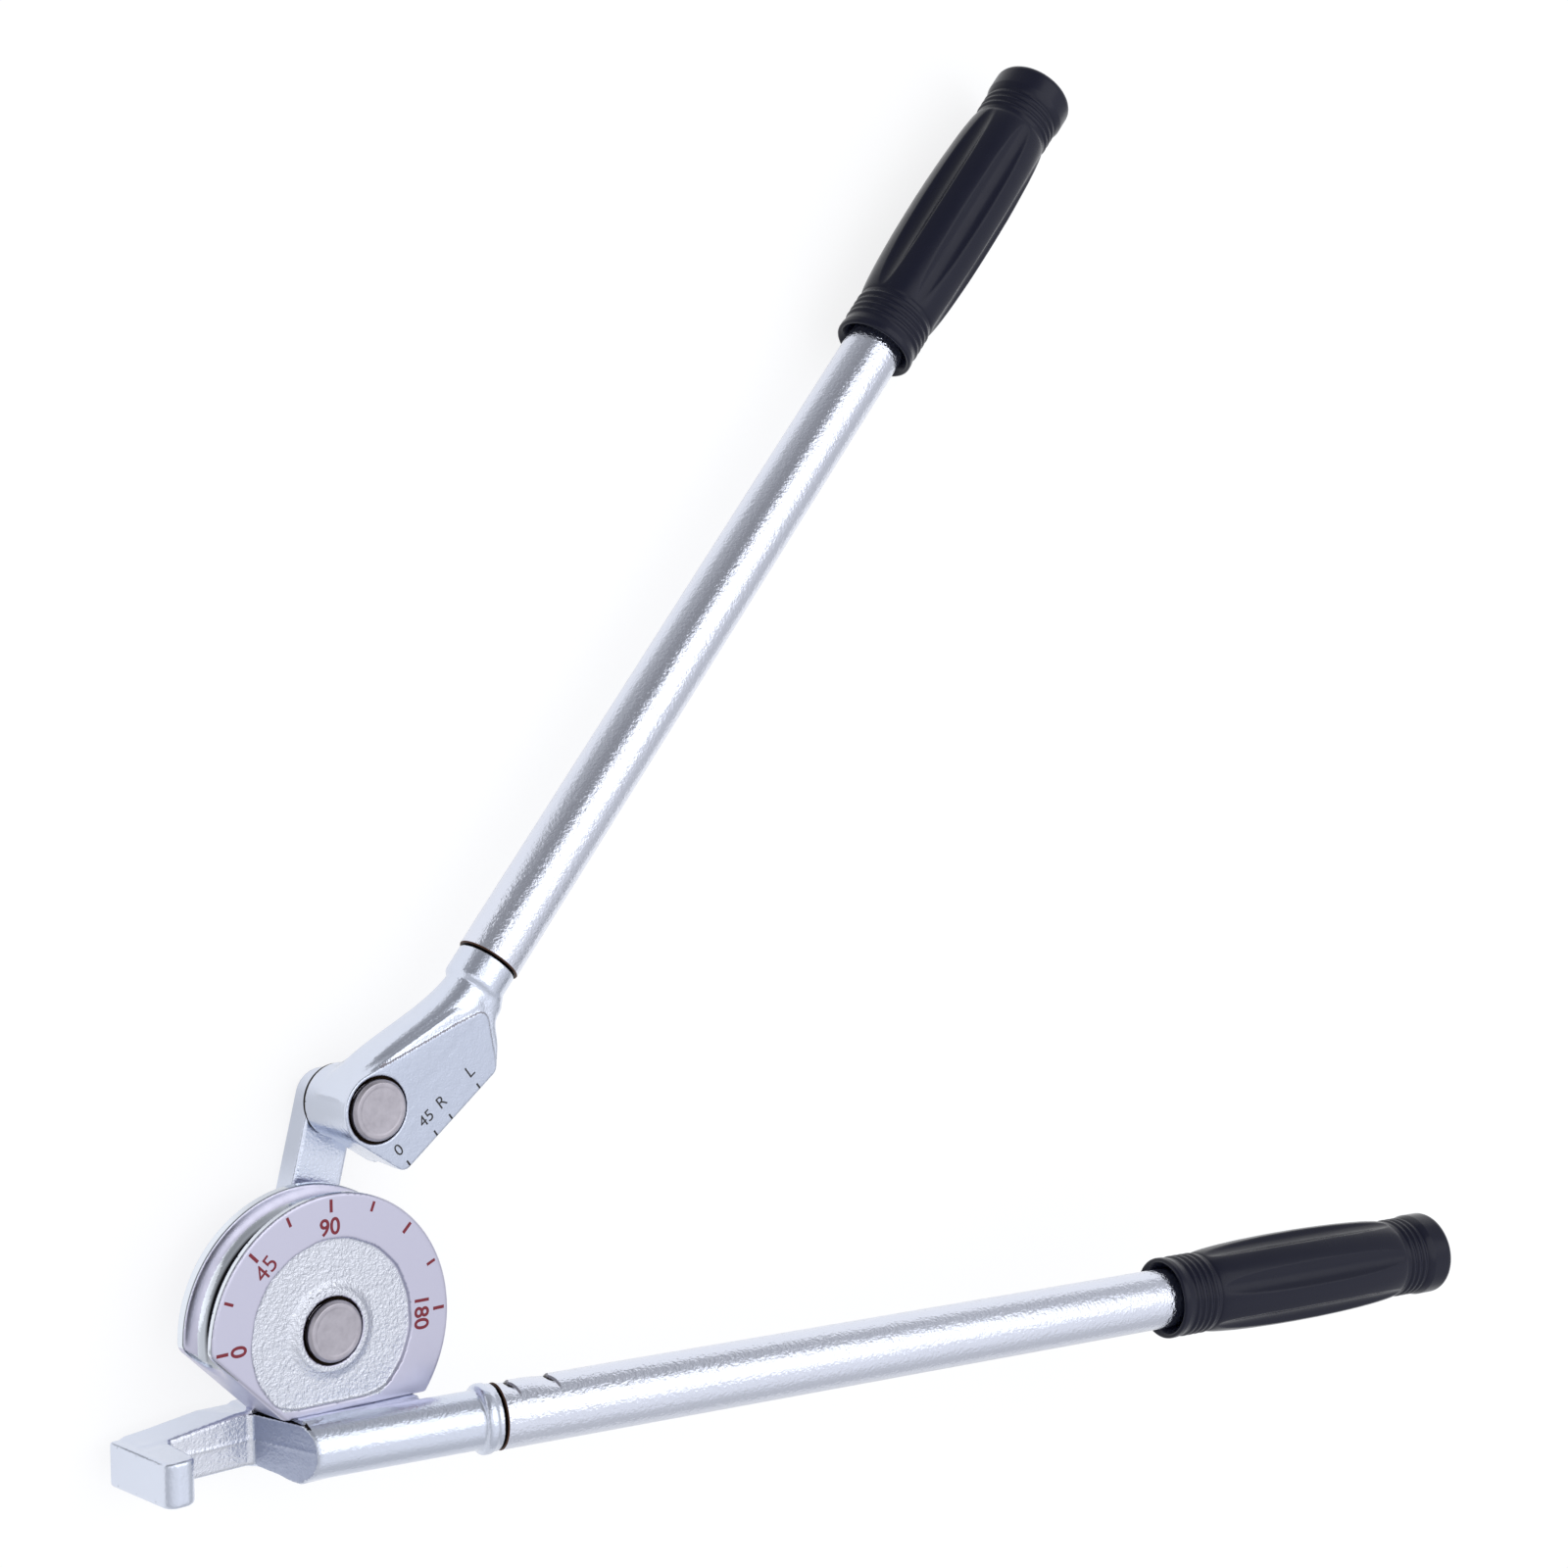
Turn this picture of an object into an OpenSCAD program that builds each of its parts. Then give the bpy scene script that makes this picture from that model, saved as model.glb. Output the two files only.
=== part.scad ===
// Lever-type hand bender for round tube, bends up to 180 degrees.
// Millimetres. The bend centre is the origin: X runs with the form handle,
// Z is the axis of the form wheel and points out of its dial face.

/* [Tube to bend] */
// Outside diameter of the tube that is bent
tube_d = 12; // [10:0.5:13]
// Bend radius to the middle of the tube
bend_r = 38; // [36:0.5:42]
// Radial clearance of the tube in its grooves
groove_clear = 0.15; // [0.05:0.05:0.4]

/* [Form wheel] */
// Distance from the groove's middle to the dial face
wheel_front = 8.5; // [8:0.1:9]
// Distance from the groove's middle to the wheel's back
wheel_back = 9.8; // [9:0.1:10.5]
// Chamfer on the flange rims
rim_chamfer = 0.6; // [0.3:0.1:1]
// Distance from the axis to the flat where the tube leads in
lead_flat_r = 27.2; // [26:0.1:28.5]
// Angle of that flat's normal below -X
lead_flat_angle = 45.5; // [44:0.5:48]
// Distance from the axis to the seat on the hook casting
seat_r = 22.4; // [21.8:0.1:23]
// Tilt of the seat against the X axis
seat_tilt = 1.5; // [0:0.5:3]
// Radius of the sunk field inside the dial
recess_r = 25.5; // [24:0.25:27]
// Depth of the sunk field
recess_depth = 1.2; // [0.6:0.1:1.8]
// Land left between the sunk field and the seat
recess_land = 2.3; // [2:0.1:3.5]
// Radius of the raised boss round the centre pin
boss_r = 11.5; // [11:0.1:13]

/* [Pivots] */
// Diameter of both pivot pins
pin_d = 16; // [15:0.25:17]
// Diameter of the riveted shank in the link
shank_d = 10; // [8:0.5:11]
// Radial running clearance of a pin in its bush
pin_clear = 0.05; // [0.02:0.01:0.1]
// Wall of the bearing bushes
bush_wall = 1.5; // [1.2:0.1:1.8]
// Depth from the boss face down to the bush
bush_sink = 1.8; // [1.5:0.1:2.2]
// Height of a pin's end above the boss face
pin_proud = 1.7; // [1:0.1:2.5]
// Chamfer on a pin's end
pin_chamfer = 0.6; // [0.3:0.1:1]
// Thickness of the retaining rings
ring_t = 1; // [0.8:0.1:1.2]
// Depth of the retaining ring groove
ring_groove = 0.8; // [0.6:0.1:1]
// Radial height of the retaining rings
ring_h = 1.6; // [1.4:0.1:1.8]
// Mouth of a retaining ring
ring_mouth = 40; // [30:5:60]
// Thickness of the thrust washers
washer_t = 1; // [0.8:0.1:1.5]
// Axial play of each pivot
axial_play = 0.1; // [0.05:0.01:0.2]
// Height of the rear hubs that carry the thrust washers
hub_h = 2.6; // [2:0.1:4]
// Height of the riveted pin ends behind the link
rivet_h = 1.5; // [1.2:0.1:2.5]
// Overhang of a riveted end past its shank
rivet_lip = 1.5; // [1:0.1:2.5]

/* [Link] */
// Width of the link bar
link_w = 16.2; // [15:0.2:18]
// Thickness of the link bar
link_t = 8.2; // [6:0.2:9]
// Angle of the link from the form handle
link_angle = 75; // [60:1:90]

/* [Lever] */
// Radius of the boss round the lever pin
lever_boss_r = 10.6; // [10.4:0.1:12]
// Direction of the lever handle from the form handle
lever_angle = 49.5; // [40:0.5:55]
// Distance from the lever pin to the middle of the bent tube
shoe_reach = 23; // [22:0.25:25]
// Distance that the shoe's lips stop short of the tube's middle
lip_gap = 3; // [2:0.25:4]
// Angle between the shoe's groove and the lever handle
shoe_angle = 12; // [10:0.5:14]
// Length of the shoe behind the lever pin
shoe_back = 5.5; // [4:0.5:7]
// Length of the shoe ahead of the lever pin
shoe_front = 36.5; // [34:0.5:39]
// Overhang of the shoe's nose past its groove
nose_run = 8.2; // [6:0.1:9]
// Height of the nose corner above the shoe's lips
nose_rise = 12.5; // [10:0.5:14]
// Radius of the shoe's corners
shoe_corner = 3; // [2:0.25:4]
// Distance from the lever pin to the lever handle's axis
lever_offset = 10; // [8:0.5:12]
// Distance along the handle from the lever pin to the end of the socket
lever_socket = 55.4; // [54:0.2:60]
// Length of the round neck on the lever casting
neck_len = 9; // [7:0.5:11]
// Diameter of that neck
neck_d = 18; // [17:0.25:18.75]
// Front-to-back size of the lever arm at its pivot
arm_t = 14; // [12:0.5:16]
// Distance along the handle from the lever pin to the arm's waist
arm_waist = 30; // [26:0.5:34]
// Drop of the waist's middle towards the handle's axis
arm_waist_drop = 6.5; // [5.5:0.25:7.5]
// Diameter of the waist
arm_waist_d = 15.8; // [14.5:0.1:16.5]
// Step from the neck down to the arm
neck_step = 1.1; // [0.5:0.1:1.5]

/* [Hook casting] */
// Drop of the form handle's axis below the seat
bar_drop = 8.5; // [8.4:0.1:9.2]
// Offset of the form handle's axis in front of the wheel's middle
bar_front = 11.4; // [11:0.1:13]
// Forward lean of the form handle, which lets the lever pass behind it
bar_lean = 11.5; // [11:0.25:13]
// Diameter of the bar under the wheel
bar_d = 16.7; // [15.5:0.1:17.5]
// Distance along the bar to the end of its socket
bar_socket = 45; // [43:0.5:50]
// Diameter of the collar bead
bead_d = 20; // [19.8:0.1:21]
// Width of the collar bead
bead_w = 3.9; // [3:0.1:5]
// Width of the plain ring between bead and tube
collar_w = 1.3; // [1:0.1:2.5]
// Distance from the wheel axis back to the end face of the bar
bar_end = 15.6; // [15:0.1:16.5]
// Skew of that end face
bar_end_skew = 14; // [10:1:16]
// Length of the block in front of the wheel axis
block_front = 26; // [22:0.5:28]
// Chamfer at the block's far end
block_chamfer = 9; // [6:0.5:11]
// Gap under the wheel's corner at the end face
seat_relief = 0.8; // [0.5:0.1:1.2]
// Length of that gap
seat_relief_len = 4; // [3:0.5:6]
// Clearance between the tube and the hook arm behind it
hook_clear = 0.5; // [0.3:0.1:1]
// Thickness of the hook arm, front to back
hook_arm_t = 11; // [9:0.25:12]
// Drop of the hook's top below the wheel axis
hook_drop = 25; // [24:0.25:27]
// Height of the hook
hook_h = 12.2; // [11:0.25:13.5]
// Width of the hook's head beside the tube
hook_head_w = 9.9; // [8.5:0.1:12]
// Draft of the head's two sides, which narrows it towards its tip
hook_draft = 3; // [1:0.5:4]
// Reach of the hook's head past the middle of the tube
hook_reach = 11; // [9:0.1:12]
// Radius of the hook head's upright edges
hook_corner = 2.6; // [1:0.1:3]
// Rise of the hook arm towards the wheel
hook_rise = 2.8; // [1.5:0.1:2.8]
// Length over which it rises
hook_rise_run = 28; // [24:0.5:29]
// Diameter of the dowels between wheel and casting
dowel_d = 5; // [4:0.5:6]
// Length of those dowels
dowel_len = 14; // [12:1:16]
// Distance between those dowels
dowel_gap = 20; // [16:1:22]

/* [Handles] */
// Outside diameter of both handle tubes
handle_d = 19; // [18.75:0.25:20]
// Wall of the handle tubes
handle_wall = 2; // [1.5:0.25:2.5]
// Bare length of each handle tube
handle_bare = 236.5; // [180:0.5:280]
// Gap between a casting's shoulder and its tube
seam_gap = 0.7; // [0.4:0.1:1]
// Length of the spigots inside the tubes
spigot_len = 36; // [30:1:45]
// Radial clearance of spigots in tubes, and of tubes in grips
sleeve_clear = 0.05; // [0.02:0.01:0.1]
// Distance from the tube's end to the first crimp
crimp_start = 4; // [3:0.5:10]
// Distance between the two crimps
crimp_pitch = 12; // [10:0.5:14]
// Depth of a crimp
crimp_depth = 0.9; // [0.5:0.1:1.2]
// Radius of the crimping tool
crimp_r = 7; // [5:0.5:9]
// Turn of the crimps towards the front of the form handle
crimp_turn = 25; // [0:5:60]

/* [Grips] */
// Length of each grip
grip_len = 115.5; // [100:0.5:130]
// Radius of the lip at the tube end
grip_lip_r = 13; // [12.5:0.1:13.5]
// Radius of the slim ends of the grip
grip_neck_r = 12.6; // [12.2:0.1:12.8]
// Largest radius of the grip
grip_body_r = 15; // [14:0.1:15.5]
// Radius of the bead at the closed end
grip_end_r = 13.6; // [13:0.1:14.2]
// Thickness of the closed end
grip_end_t = 8; // [6:0.5:12]
// Radius of the bell mouth at the tube end
grip_mouth_r = 11.8; // [10.5:0.1:12]
// Depth of that bell mouth
grip_mouth_h = 3; // [2:0.5:4]
// Number of rings at the tube end
grip_rings = 4; // [2:1:5]
// Number of rings at the closed end
grip_end_rings = 3; // [1:1:3]
// Distance between rings
grip_ring_pitch = 2.4; // [2:0.1:3]
// Height of the rings
grip_ring_h = 0.45; // [0.3:0.05:0.6]
// Number of flutes round the grip
grip_flutes = 6; // [5:1:8]
// Radius of the flutes
grip_flute_r = 6; // [4:0.5:8]
// Depth of the flutes at the grip's largest radius
grip_flute_depth = 1.7; // [1:0.1:2]
// Turn of the flutes from the back of a handle
grip_flute_turn = 43; // [0:1:59]

/* [Hidden] */
$fn = 64;
hull_fn = 32;
eps = 0.01;
past = 1;
inset = 0.25;
big = 200;

face_z = wheel_front;
groove_r = tube_d / 2 + groove_clear;
pin_r = pin_d / 2;
bush_r = pin_r + bush_wall;
hub_z = -wheel_back - hub_h;
washer_z = hub_z - axial_play;
link_z = washer_z - washer_t;
link_back_z = link_z - link_t;
washer_r = lever_boss_r - 0.4;

link_len = bend_r + shoe_reach;
lever_pin_at = [link_len * cos(link_angle), link_len * sin(link_angle)];

bar_y = -seat_r - bar_drop;
spigot_r = handle_d / 2 - handle_wall - sleeve_clear;
hook_inner_x = -bend_r - tube_d / 2;
hook_outer_x = hook_inner_x - hook_head_w;
hook_front_z = -tube_d / 2 - hook_clear;
hook_back_z = hook_front_z - hook_arm_t;
hook_base_y = -hook_drop - hook_h;
block_back = bar_end + 1.7;
lip_r = shoe_reach - lip_gap;

plated = "gainsboro";
bright = "lightsteelblue";
steel = "silver";
bronze = "darkgoldenrod";
black = [0.08, 0.08, 0.09];

// Puts local Z along the form handle, outward from the wheel
module on_form_axis() {
    translate([0, bar_y, bar_front])
        rotate([0, 90 - bar_lean, 0])
            children();
}

// Puts the local origin on the lever pin, with local X along the lever handle
module on_lever() {
    translate(lever_pin_at)
        rotate([0, 0, lever_angle])
            children();
}

// Puts local Z along the lever handle, outward from the lever pin
module on_lever_axis() {
    on_lever()
        translate([0, -lever_offset, 0])
            rotate([0, 90, 0])
                children();
}

// Everything on the far side of a plane at distance d from the Z axis, square to direction a
module beyond(d, a) {
    rotate([0, 0, a])
        translate([d, -big / 2, -big / 2])
            cube(big);
}

// Round bar from z0 to z1
module rod(r, z0, z1) {
    translate([0, 0, z0])
        cylinder(r = r, h = z1 - z0);
}

// Round disc with both edges chamfered
module chamfered_disc(r, z0, z1, c) {
    rotate_extrude()
        polygon([[0, z0], [r - c, z0], [r, z0 + c], [r, z1 - c], [r - c, z1], [0, z1]]);
}

// Bore for a bush and the sunk ring seat in front of it
module bush_bore() {
    rod(bush_r, hub_z - past, face_z + past);
}

// Sunk field of the dial face, a circle cut off above the seat
module dial_recess() {
    difference() {
        rod(recess_r, face_z - recess_depth, face_z + past);
        beyond(seat_r - recess_land, -90 - seat_tilt);
        rod(boss_r, face_z - recess_depth - past, face_z + 2 * past);
    }
}

// Places the dowels across the seat, with local Z down into the casting
module at_dowels() {
    rotate([0, 0, -seat_tilt])
        for (x = [-dowel_gap / 2, dowel_gap / 2])
            translate([x + 5, -seat_r, 0])
                rotate([90, 0, 0])
                    children();
}

module form_wheel() {
    color(bright)
        difference() {
            union() {
                chamfered_disc(bend_r, -wheel_back, face_z, rim_chamfer);
                rod(boss_r, hub_z, 0);
            }
            rotate_extrude()
                translate([bend_r, 0])
                    circle(r = groove_r);
            beyond(lead_flat_r, 180 + lead_flat_angle);
            beyond(seat_r, -90 - seat_tilt);
            dial_recess();
            bush_bore();
            at_dowels()
                rod(dowel_d / 2 + sleeve_clear, -dowel_len / 2 - past, past);
        }
}

module bush() {
    color(bronze)
        difference() {
            rod(bush_r - eps, hub_z, face_z - bush_sink);
            rod(pin_r + pin_clear, hub_z - past, face_z);
        }
}

module wheel_bush() {
    bush();
}

module wheel_dowels() {
    color(steel)
        at_dowels()
            rod(dowel_d / 2, -dowel_len / 2, dowel_len / 2);
}

// Bar that carries the form handle, with its collar and spigot
module form_bar() {
    collar_z = bar_socket - collar_w;
    on_form_axis() {
        rod(bar_d / 2, -2 * bar_end, collar_z);
        chamfered_disc(bead_d / 2, collar_z - bead_w, collar_z, bead_w / 4);
        rod(handle_d / 2, collar_z - past, bar_socket);
        rod(spigot_r, bar_socket - past, bar_socket + spigot_len);
    }
}

// Block between the wheel's seat, the bar and the hook arm
module seat_block() {
    difference() {
        translate([-block_back, 0, 0])
            rotate([90, 0, 90])
                linear_extrude(block_back + block_front)
                    polygon([
                        [hook_base_y, hook_back_z],
                        [hook_base_y, hook_front_z],
                        [bar_y - bar_d / 2, bar_front],
                        [0, bar_front],
                        [0, hook_back_z]
                    ]);
        beyond(-seat_r, 90 - seat_tilt);
        translate([block_front, 0, hook_back_z])
            rotate([0, 45, 0])
                cube([2 * block_chamfer, big, 2 * block_chamfer], center = true);
    }
}

// Tapered arm behind the tube
module hook_arm() {
    root = hook_outer_x + hook_corner;
    top = -hook_drop + hook_rise;
    translate([0, 0, hook_back_z])
        linear_extrude(hook_arm_t)
            polygon([
                [root, hook_base_y],
                [-bar_end, hook_base_y],
                [-bar_end, top],
                [hook_outer_x + hook_rise_run, top],
                [root, -hook_drop]
            ]);
}

// Plan of the hook's head, with its sides drafted towards the round-cornered tip; local Y is the back
module hook_plan() {
    lean = tan(hook_draft);
    tip = -hook_reach + hook_corner;
    root = -hook_back_z;
    hull() {
        for (x = [hook_inner_x + lean * tip - hook_corner, hook_outer_x - lean * tip + hook_corner])
            translate([x, tip])
                circle(r = hook_corner);
        translate([hook_outer_x - lean * root, root - past])
            square([hook_head_w + 2 * lean * root, past]);
    }
}

// Head that stands up in front of the arm and holds the tube
module hook_head() {
    translate([0, hook_base_y, 0])
        rotate([-90, 0, 0])
            linear_extrude(hook_h)
                hook_plan();
}

module hook_casting() {
    color(plated)
        difference() {
            union() {
                difference() {
                    union() {
                        form_bar();
                        seat_block();
                    }
                    translate([-bar_end, 0, 0])
                        rotate([0, bar_end_skew, 0])
                            translate([-big, -big / 2, hook_front_z / cos(bar_end_skew)])
                                cube(big);
                }
                hook_arm();
                hook_head();
            }
            rotate([0, 0, -seat_tilt])
                translate([-big - bar_end + seat_relief_len, -seat_r - seat_relief, hook_front_z])
                    cube([big, big, big]);
            at_dowels()
                rod(dowel_d / 2 + sleeve_clear, -past, dowel_len / 2 + past);
        }
}

// Handle tube from its casting's shoulder to inside the grip
module handle_tube(shoulder) {
    length = handle_bare + grip_len - grip_end_t;
    difference() {
        rod(handle_d / 2, shoulder + seam_gap, shoulder + seam_gap + length);
        rod(handle_d / 2 - handle_wall, shoulder, shoulder + seam_gap + length + past);
    }
}

// The two crimps that lock a tube to its spigot, turned about the tube
module crimps(shoulder, turn) {
    rotate([0, 0, turn])
        for (i = [0, 1])
            translate([0, handle_d / 2 + crimp_r - crimp_depth, shoulder + seam_gap + crimp_start + i * crimp_pitch])
                rotate([0, 90, 0])
                    cylinder(r = crimp_r, h = handle_d, center = true);
}

module form_tube() {
    color(bright)
        on_form_axis()
            difference() {
                handle_tube(bar_socket);
                crimps(bar_socket, crimp_turn);
            }
}

module lever_tube() {
    color(bright)
        on_lever_axis()
            difference() {
                handle_tube(lever_socket);
                crimps(lever_socket, -90);
            }
}

// Outline of a row of rings that starts at z
function ring_row(z, n) = [
    for (i = [0 : n - 1], p = [[0, 0], [grip_ring_h, 0.5], [0, 1]])
        [grip_neck_r + p[0], z + (i + p[1] * 0.7) * grip_ring_pitch]
];

// Swell of the grip between its slim ends
function swell(z0, z1, steps) = [
    for (i = [0 : steps])
        let (t = i / steps)
            [grip_neck_r + (grip_body_r - grip_neck_r) * sqrt(sin(180 * t)), z0 + (z1 - z0) * t]
];

// Grip with its bore, bell mouth, rings, swell and flutes, tube end at z = 0
module grip() {
    lip = 4;
    rings_end = lip + 1 + grip_rings * grip_ring_pitch;
    bead_start = grip_len - grip_end_t;
    end_rings = bead_start - grip_end_rings * grip_ring_pitch - 1;
    difference() {
        rotate_extrude()
            polygon(concat(
                [[0, 0], [grip_lip_r - 0.8, 0], [grip_lip_r, 1.2], [grip_lip_r, 2.4], [grip_neck_r, lip]],
                ring_row(lip + 1, grip_rings),
                swell(rings_end + 2, end_rings - 3, 20),
                ring_row(end_rings, grip_end_rings),
                [[grip_end_r - 0.5, bead_start], [grip_end_r, bead_start + 1.5], [grip_end_r, grip_len - 3]],
                [[grip_end_r - 0.9, grip_len - 0.9], [grip_end_r - 3, grip_len], [0, grip_len]]
            ));
        rod(handle_d / 2 + sleeve_clear, -past, bead_start);
        rotate_extrude()
            polygon([[0, -past], [grip_mouth_r, -past], [grip_mouth_r, 0], [handle_d / 2, grip_mouth_h], [0, grip_mouth_h]]);
        for (i = [0 : grip_flutes - 1])
            rotate([0, 0, grip_flute_turn + i * 360 / grip_flutes])
                translate([grip_body_r - grip_flute_depth + grip_flute_r, 0, 0])
                    rod(grip_flute_r, rings_end + 1, end_rings - 2);
    }
}

module form_grip() {
    color(black)
        on_form_axis()
            translate([0, 0, bar_socket + seam_gap + handle_bare])
                grip();
}

module lever_grip() {
    color(black)
        on_lever_axis()
            translate([0, 0, lever_socket + seam_gap + handle_bare])
                grip();
}

module link_bar() {
    color(plated)
        rotate([0, 0, link_angle])
            difference() {
                union() {
                    rod(link_w / 2, link_back_z, link_z);
                    translate([link_len, 0, 0])
                        rod(link_w / 2, link_back_z, link_z);
                    translate([0, -link_w / 2, link_back_z])
                        cube([link_len, link_w, link_t]);
                }
                for (x = [0, link_len])
                    translate([x, 0, 0])
                        rod(shank_d / 2 + eps, link_back_z - past, link_z + past);
            }
}

// Shouldered pivot pin: bearing length, ring groove and riveted shank
module pivot_pin() {
    end_z = face_z + pin_proud;
    groove_z = face_z - bush_sink + axial_play;
    difference() {
        union() {
            rotate_extrude()
                polygon([
                    [0, link_z], [pin_r, link_z], [pin_r, end_z - pin_chamfer], [pin_r - pin_chamfer, end_z], [0, end_z]
                ]);
            rod(shank_d / 2, link_back_z - past, link_z + past);
            chamfered_disc(shank_d / 2 + rivet_lip, link_back_z - rivet_h, link_back_z, rivet_h / 4);
        }
        difference() {
            rod(pin_r + past, groove_z, groove_z + ring_t + axial_play);
            rod(pin_r - ring_groove, groove_z - past, groove_z + ring_t + past);
        }
    }
}

module centre_pin() {
    color(steel)
        pivot_pin();
}

module lever_pin() {
    color(steel)
        translate(lever_pin_at)
            pivot_pin();
}

// Open retaining ring in a pin's groove, mouth to the right
module retaining_ring() {
    low = pin_r - ring_groove + sleeve_clear;
    color(steel)
        translate([0, 0, face_z - bush_sink + 1.5 * axial_play])
            rotate([0, 0, ring_mouth / 2])
                rotate_extrude(angle = 360 - ring_mouth)
                    translate([low, 0])
                        square([ring_h, ring_t]);
}

module centre_ring() {
    retaining_ring();
}

module lever_ring() {
    translate(lever_pin_at)
        retaining_ring();
}

// Thrust washer on a pin's shoulder, between link and hub
module thrust_washer() {
    color(steel)
        difference() {
            rod(washer_r, link_z, washer_z);
            rod(pin_r + sleeve_clear, link_z - past, washer_z + past);
        }
}

module centre_washer() {
    thrust_washer();
}

module lever_washer() {
    translate(lever_pin_at)
        thrust_washer();
}

// Outline of the shoe plate, with the lever pin at the origin and the groove along X
module shoe_outline() {
    c = shoe_corner;
    hull() {
        circle(r = lever_boss_r - inset, $fn = hull_fn);
        for (p = [
            [-shoe_back + c, -lip_r + c],
            [shoe_front - c, -lip_r + c],
            [shoe_front + nose_run - c, -lip_r + nose_rise],
            [shoe_front + nose_run - 2 * c, -lip_r + nose_rise + 1.5 * c]
        ])
            translate(p)
                circle(r = c, $fn = hull_fn);
    }
}

// Round section of the lever arm, square to the handle
module arm_section(x, drop, r) {
    translate([x, -drop, 0])
        rotate([0, 90, 0])
            cylinder(r = r, h = past, center = true, $fn = hull_fn);
}

module arm_waist_section() {
    arm_section(arm_waist, arm_waist_drop, arm_waist_d / 2);
}

// Arm that carries the round neck on the lever handle's axis, waisted between boss and neck
module lever_arm() {
    hull() {
        rod(lever_boss_r - inset, -arm_t / 2, arm_t / 2, $fn = hull_fn);
        arm_waist_section();
    }
    hull() {
        arm_waist_section();
        rotate([0, 0, -shoe_angle])
            translate([shoe_front + nose_run - shoe_corner, -lip_r + nose_rise, 0])
                rod(shoe_corner - inset, -arm_t / 2, arm_t / 2, $fn = hull_fn);
        arm_section(lever_socket - neck_len, lever_offset, neck_d / 2 - neck_step);
    }
}

module lever_casting() {
    color(plated)
        difference() {
            union() {
                on_lever() {
                    rotate([0, 0, -shoe_angle])
                        linear_extrude(2 * face_z, center = true)
                            shoe_outline();
                    lever_arm();
                    rod(lever_boss_r, hub_z, face_z);
                }
                on_lever_axis() {
                    rod(neck_d / 2, lever_socket - neck_len, lever_socket);
                    rod(spigot_r, lever_socket - past, lever_socket + spigot_len);
                }
            }
            on_lever() {
                bush_bore();
                rotate([0, 0, -shoe_angle])
                    translate([0, -shoe_reach, 0])
                        rotate([0, 90, 0])
                            cylinder(r = groove_r, h = big, center = true);
            }
        }
}

module lever_bush() {
    translate(lever_pin_at)
        bush();
}

form_wheel();
wheel_bush();
wheel_dowels();
hook_casting();
form_tube();
form_grip();
link_bar();
centre_pin();
centre_ring();
centre_washer();
lever_pin();
lever_ring();
lever_washer();
lever_casting();
lever_bush();
lever_tube();
lever_grip();
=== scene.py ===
import math

import bpy
import numpy as np
from mathutils import Matrix, Vector


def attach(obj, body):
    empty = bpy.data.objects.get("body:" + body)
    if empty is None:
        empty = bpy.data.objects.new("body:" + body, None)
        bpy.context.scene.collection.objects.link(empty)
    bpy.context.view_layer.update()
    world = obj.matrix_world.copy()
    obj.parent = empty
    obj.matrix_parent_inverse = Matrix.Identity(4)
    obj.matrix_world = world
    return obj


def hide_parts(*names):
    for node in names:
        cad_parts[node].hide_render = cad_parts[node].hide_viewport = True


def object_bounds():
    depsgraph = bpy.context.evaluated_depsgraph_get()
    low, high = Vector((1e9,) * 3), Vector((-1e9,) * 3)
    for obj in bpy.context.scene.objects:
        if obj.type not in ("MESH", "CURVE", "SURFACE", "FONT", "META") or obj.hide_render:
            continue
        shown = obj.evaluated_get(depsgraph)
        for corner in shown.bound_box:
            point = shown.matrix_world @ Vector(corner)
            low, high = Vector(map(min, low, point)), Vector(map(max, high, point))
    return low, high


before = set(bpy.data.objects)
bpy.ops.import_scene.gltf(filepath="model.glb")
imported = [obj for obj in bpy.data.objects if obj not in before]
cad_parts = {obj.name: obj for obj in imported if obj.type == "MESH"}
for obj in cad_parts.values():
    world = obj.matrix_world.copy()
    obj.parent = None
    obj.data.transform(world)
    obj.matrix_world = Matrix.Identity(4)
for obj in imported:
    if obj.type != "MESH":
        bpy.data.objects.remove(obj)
cad_low, cad_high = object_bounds()

# Sizes in millimetres and angles in degrees, the same as the solids have
MM = 0.001

# Form wheel and pivots
bend_r = 38.0
groove_r = 6.15
face_z = 8.5
back_z = -9.8
hub_z = -12.4
lead_flat_r = 27.2
lead_flat_angle = 225.5
lead_flat_draft = 0.044
seat_r = 22.4
seat_angle = -91.5
seat_relief = 1.0
seat_relief_at = -11.6
recess_r = 25.5
recess_z = 7.3
recess_land = 2.3
boss_r = 11.5
bush_r = 9.5
bush_top_z = 6.7
pin_r = 8.0
pin_end_z = 10.2
shank_r = 5.0
rivet_z = -23.2

# Link and lever
link_z = -13.5
link_back_z = -21.7
link_len = 61.0
link_w = 16.2
link_angle = 75.0
lever_angle = 49.5
lever_offset = 10.0
lever_boss_r = 10.6
lever_socket = 55.4
neck_start = 46.4
neck_r = 9.0
shoe_angle = 12.0
shoe_reach = 23.0
lip_y = -20.0
pad_floor_z = 8.0

# Hook casting and its bar
hook_front_z = -6.5
hook_back_z = -17.5
hook_base_y = -37.5
hook_top_y = -25.0
hook_tip_z = 11.4
hook_inner_x = -43.6
hook_outer_x = -53.9
hook_draft = 0.0524
block_back = -17.3
block_front = 26.0
bar_at = (0.0, -30.9, 11.4)
bar_lean = 11.5
bar_r = 8.35
bar_end = -15.6
bar_end_skew = 14.0
bar_socket = 45.0
bead_r = 10.0
bead_start = 39.8
bead_end = 43.7
spigot_r = 7.45
spigot_len = 36

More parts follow.
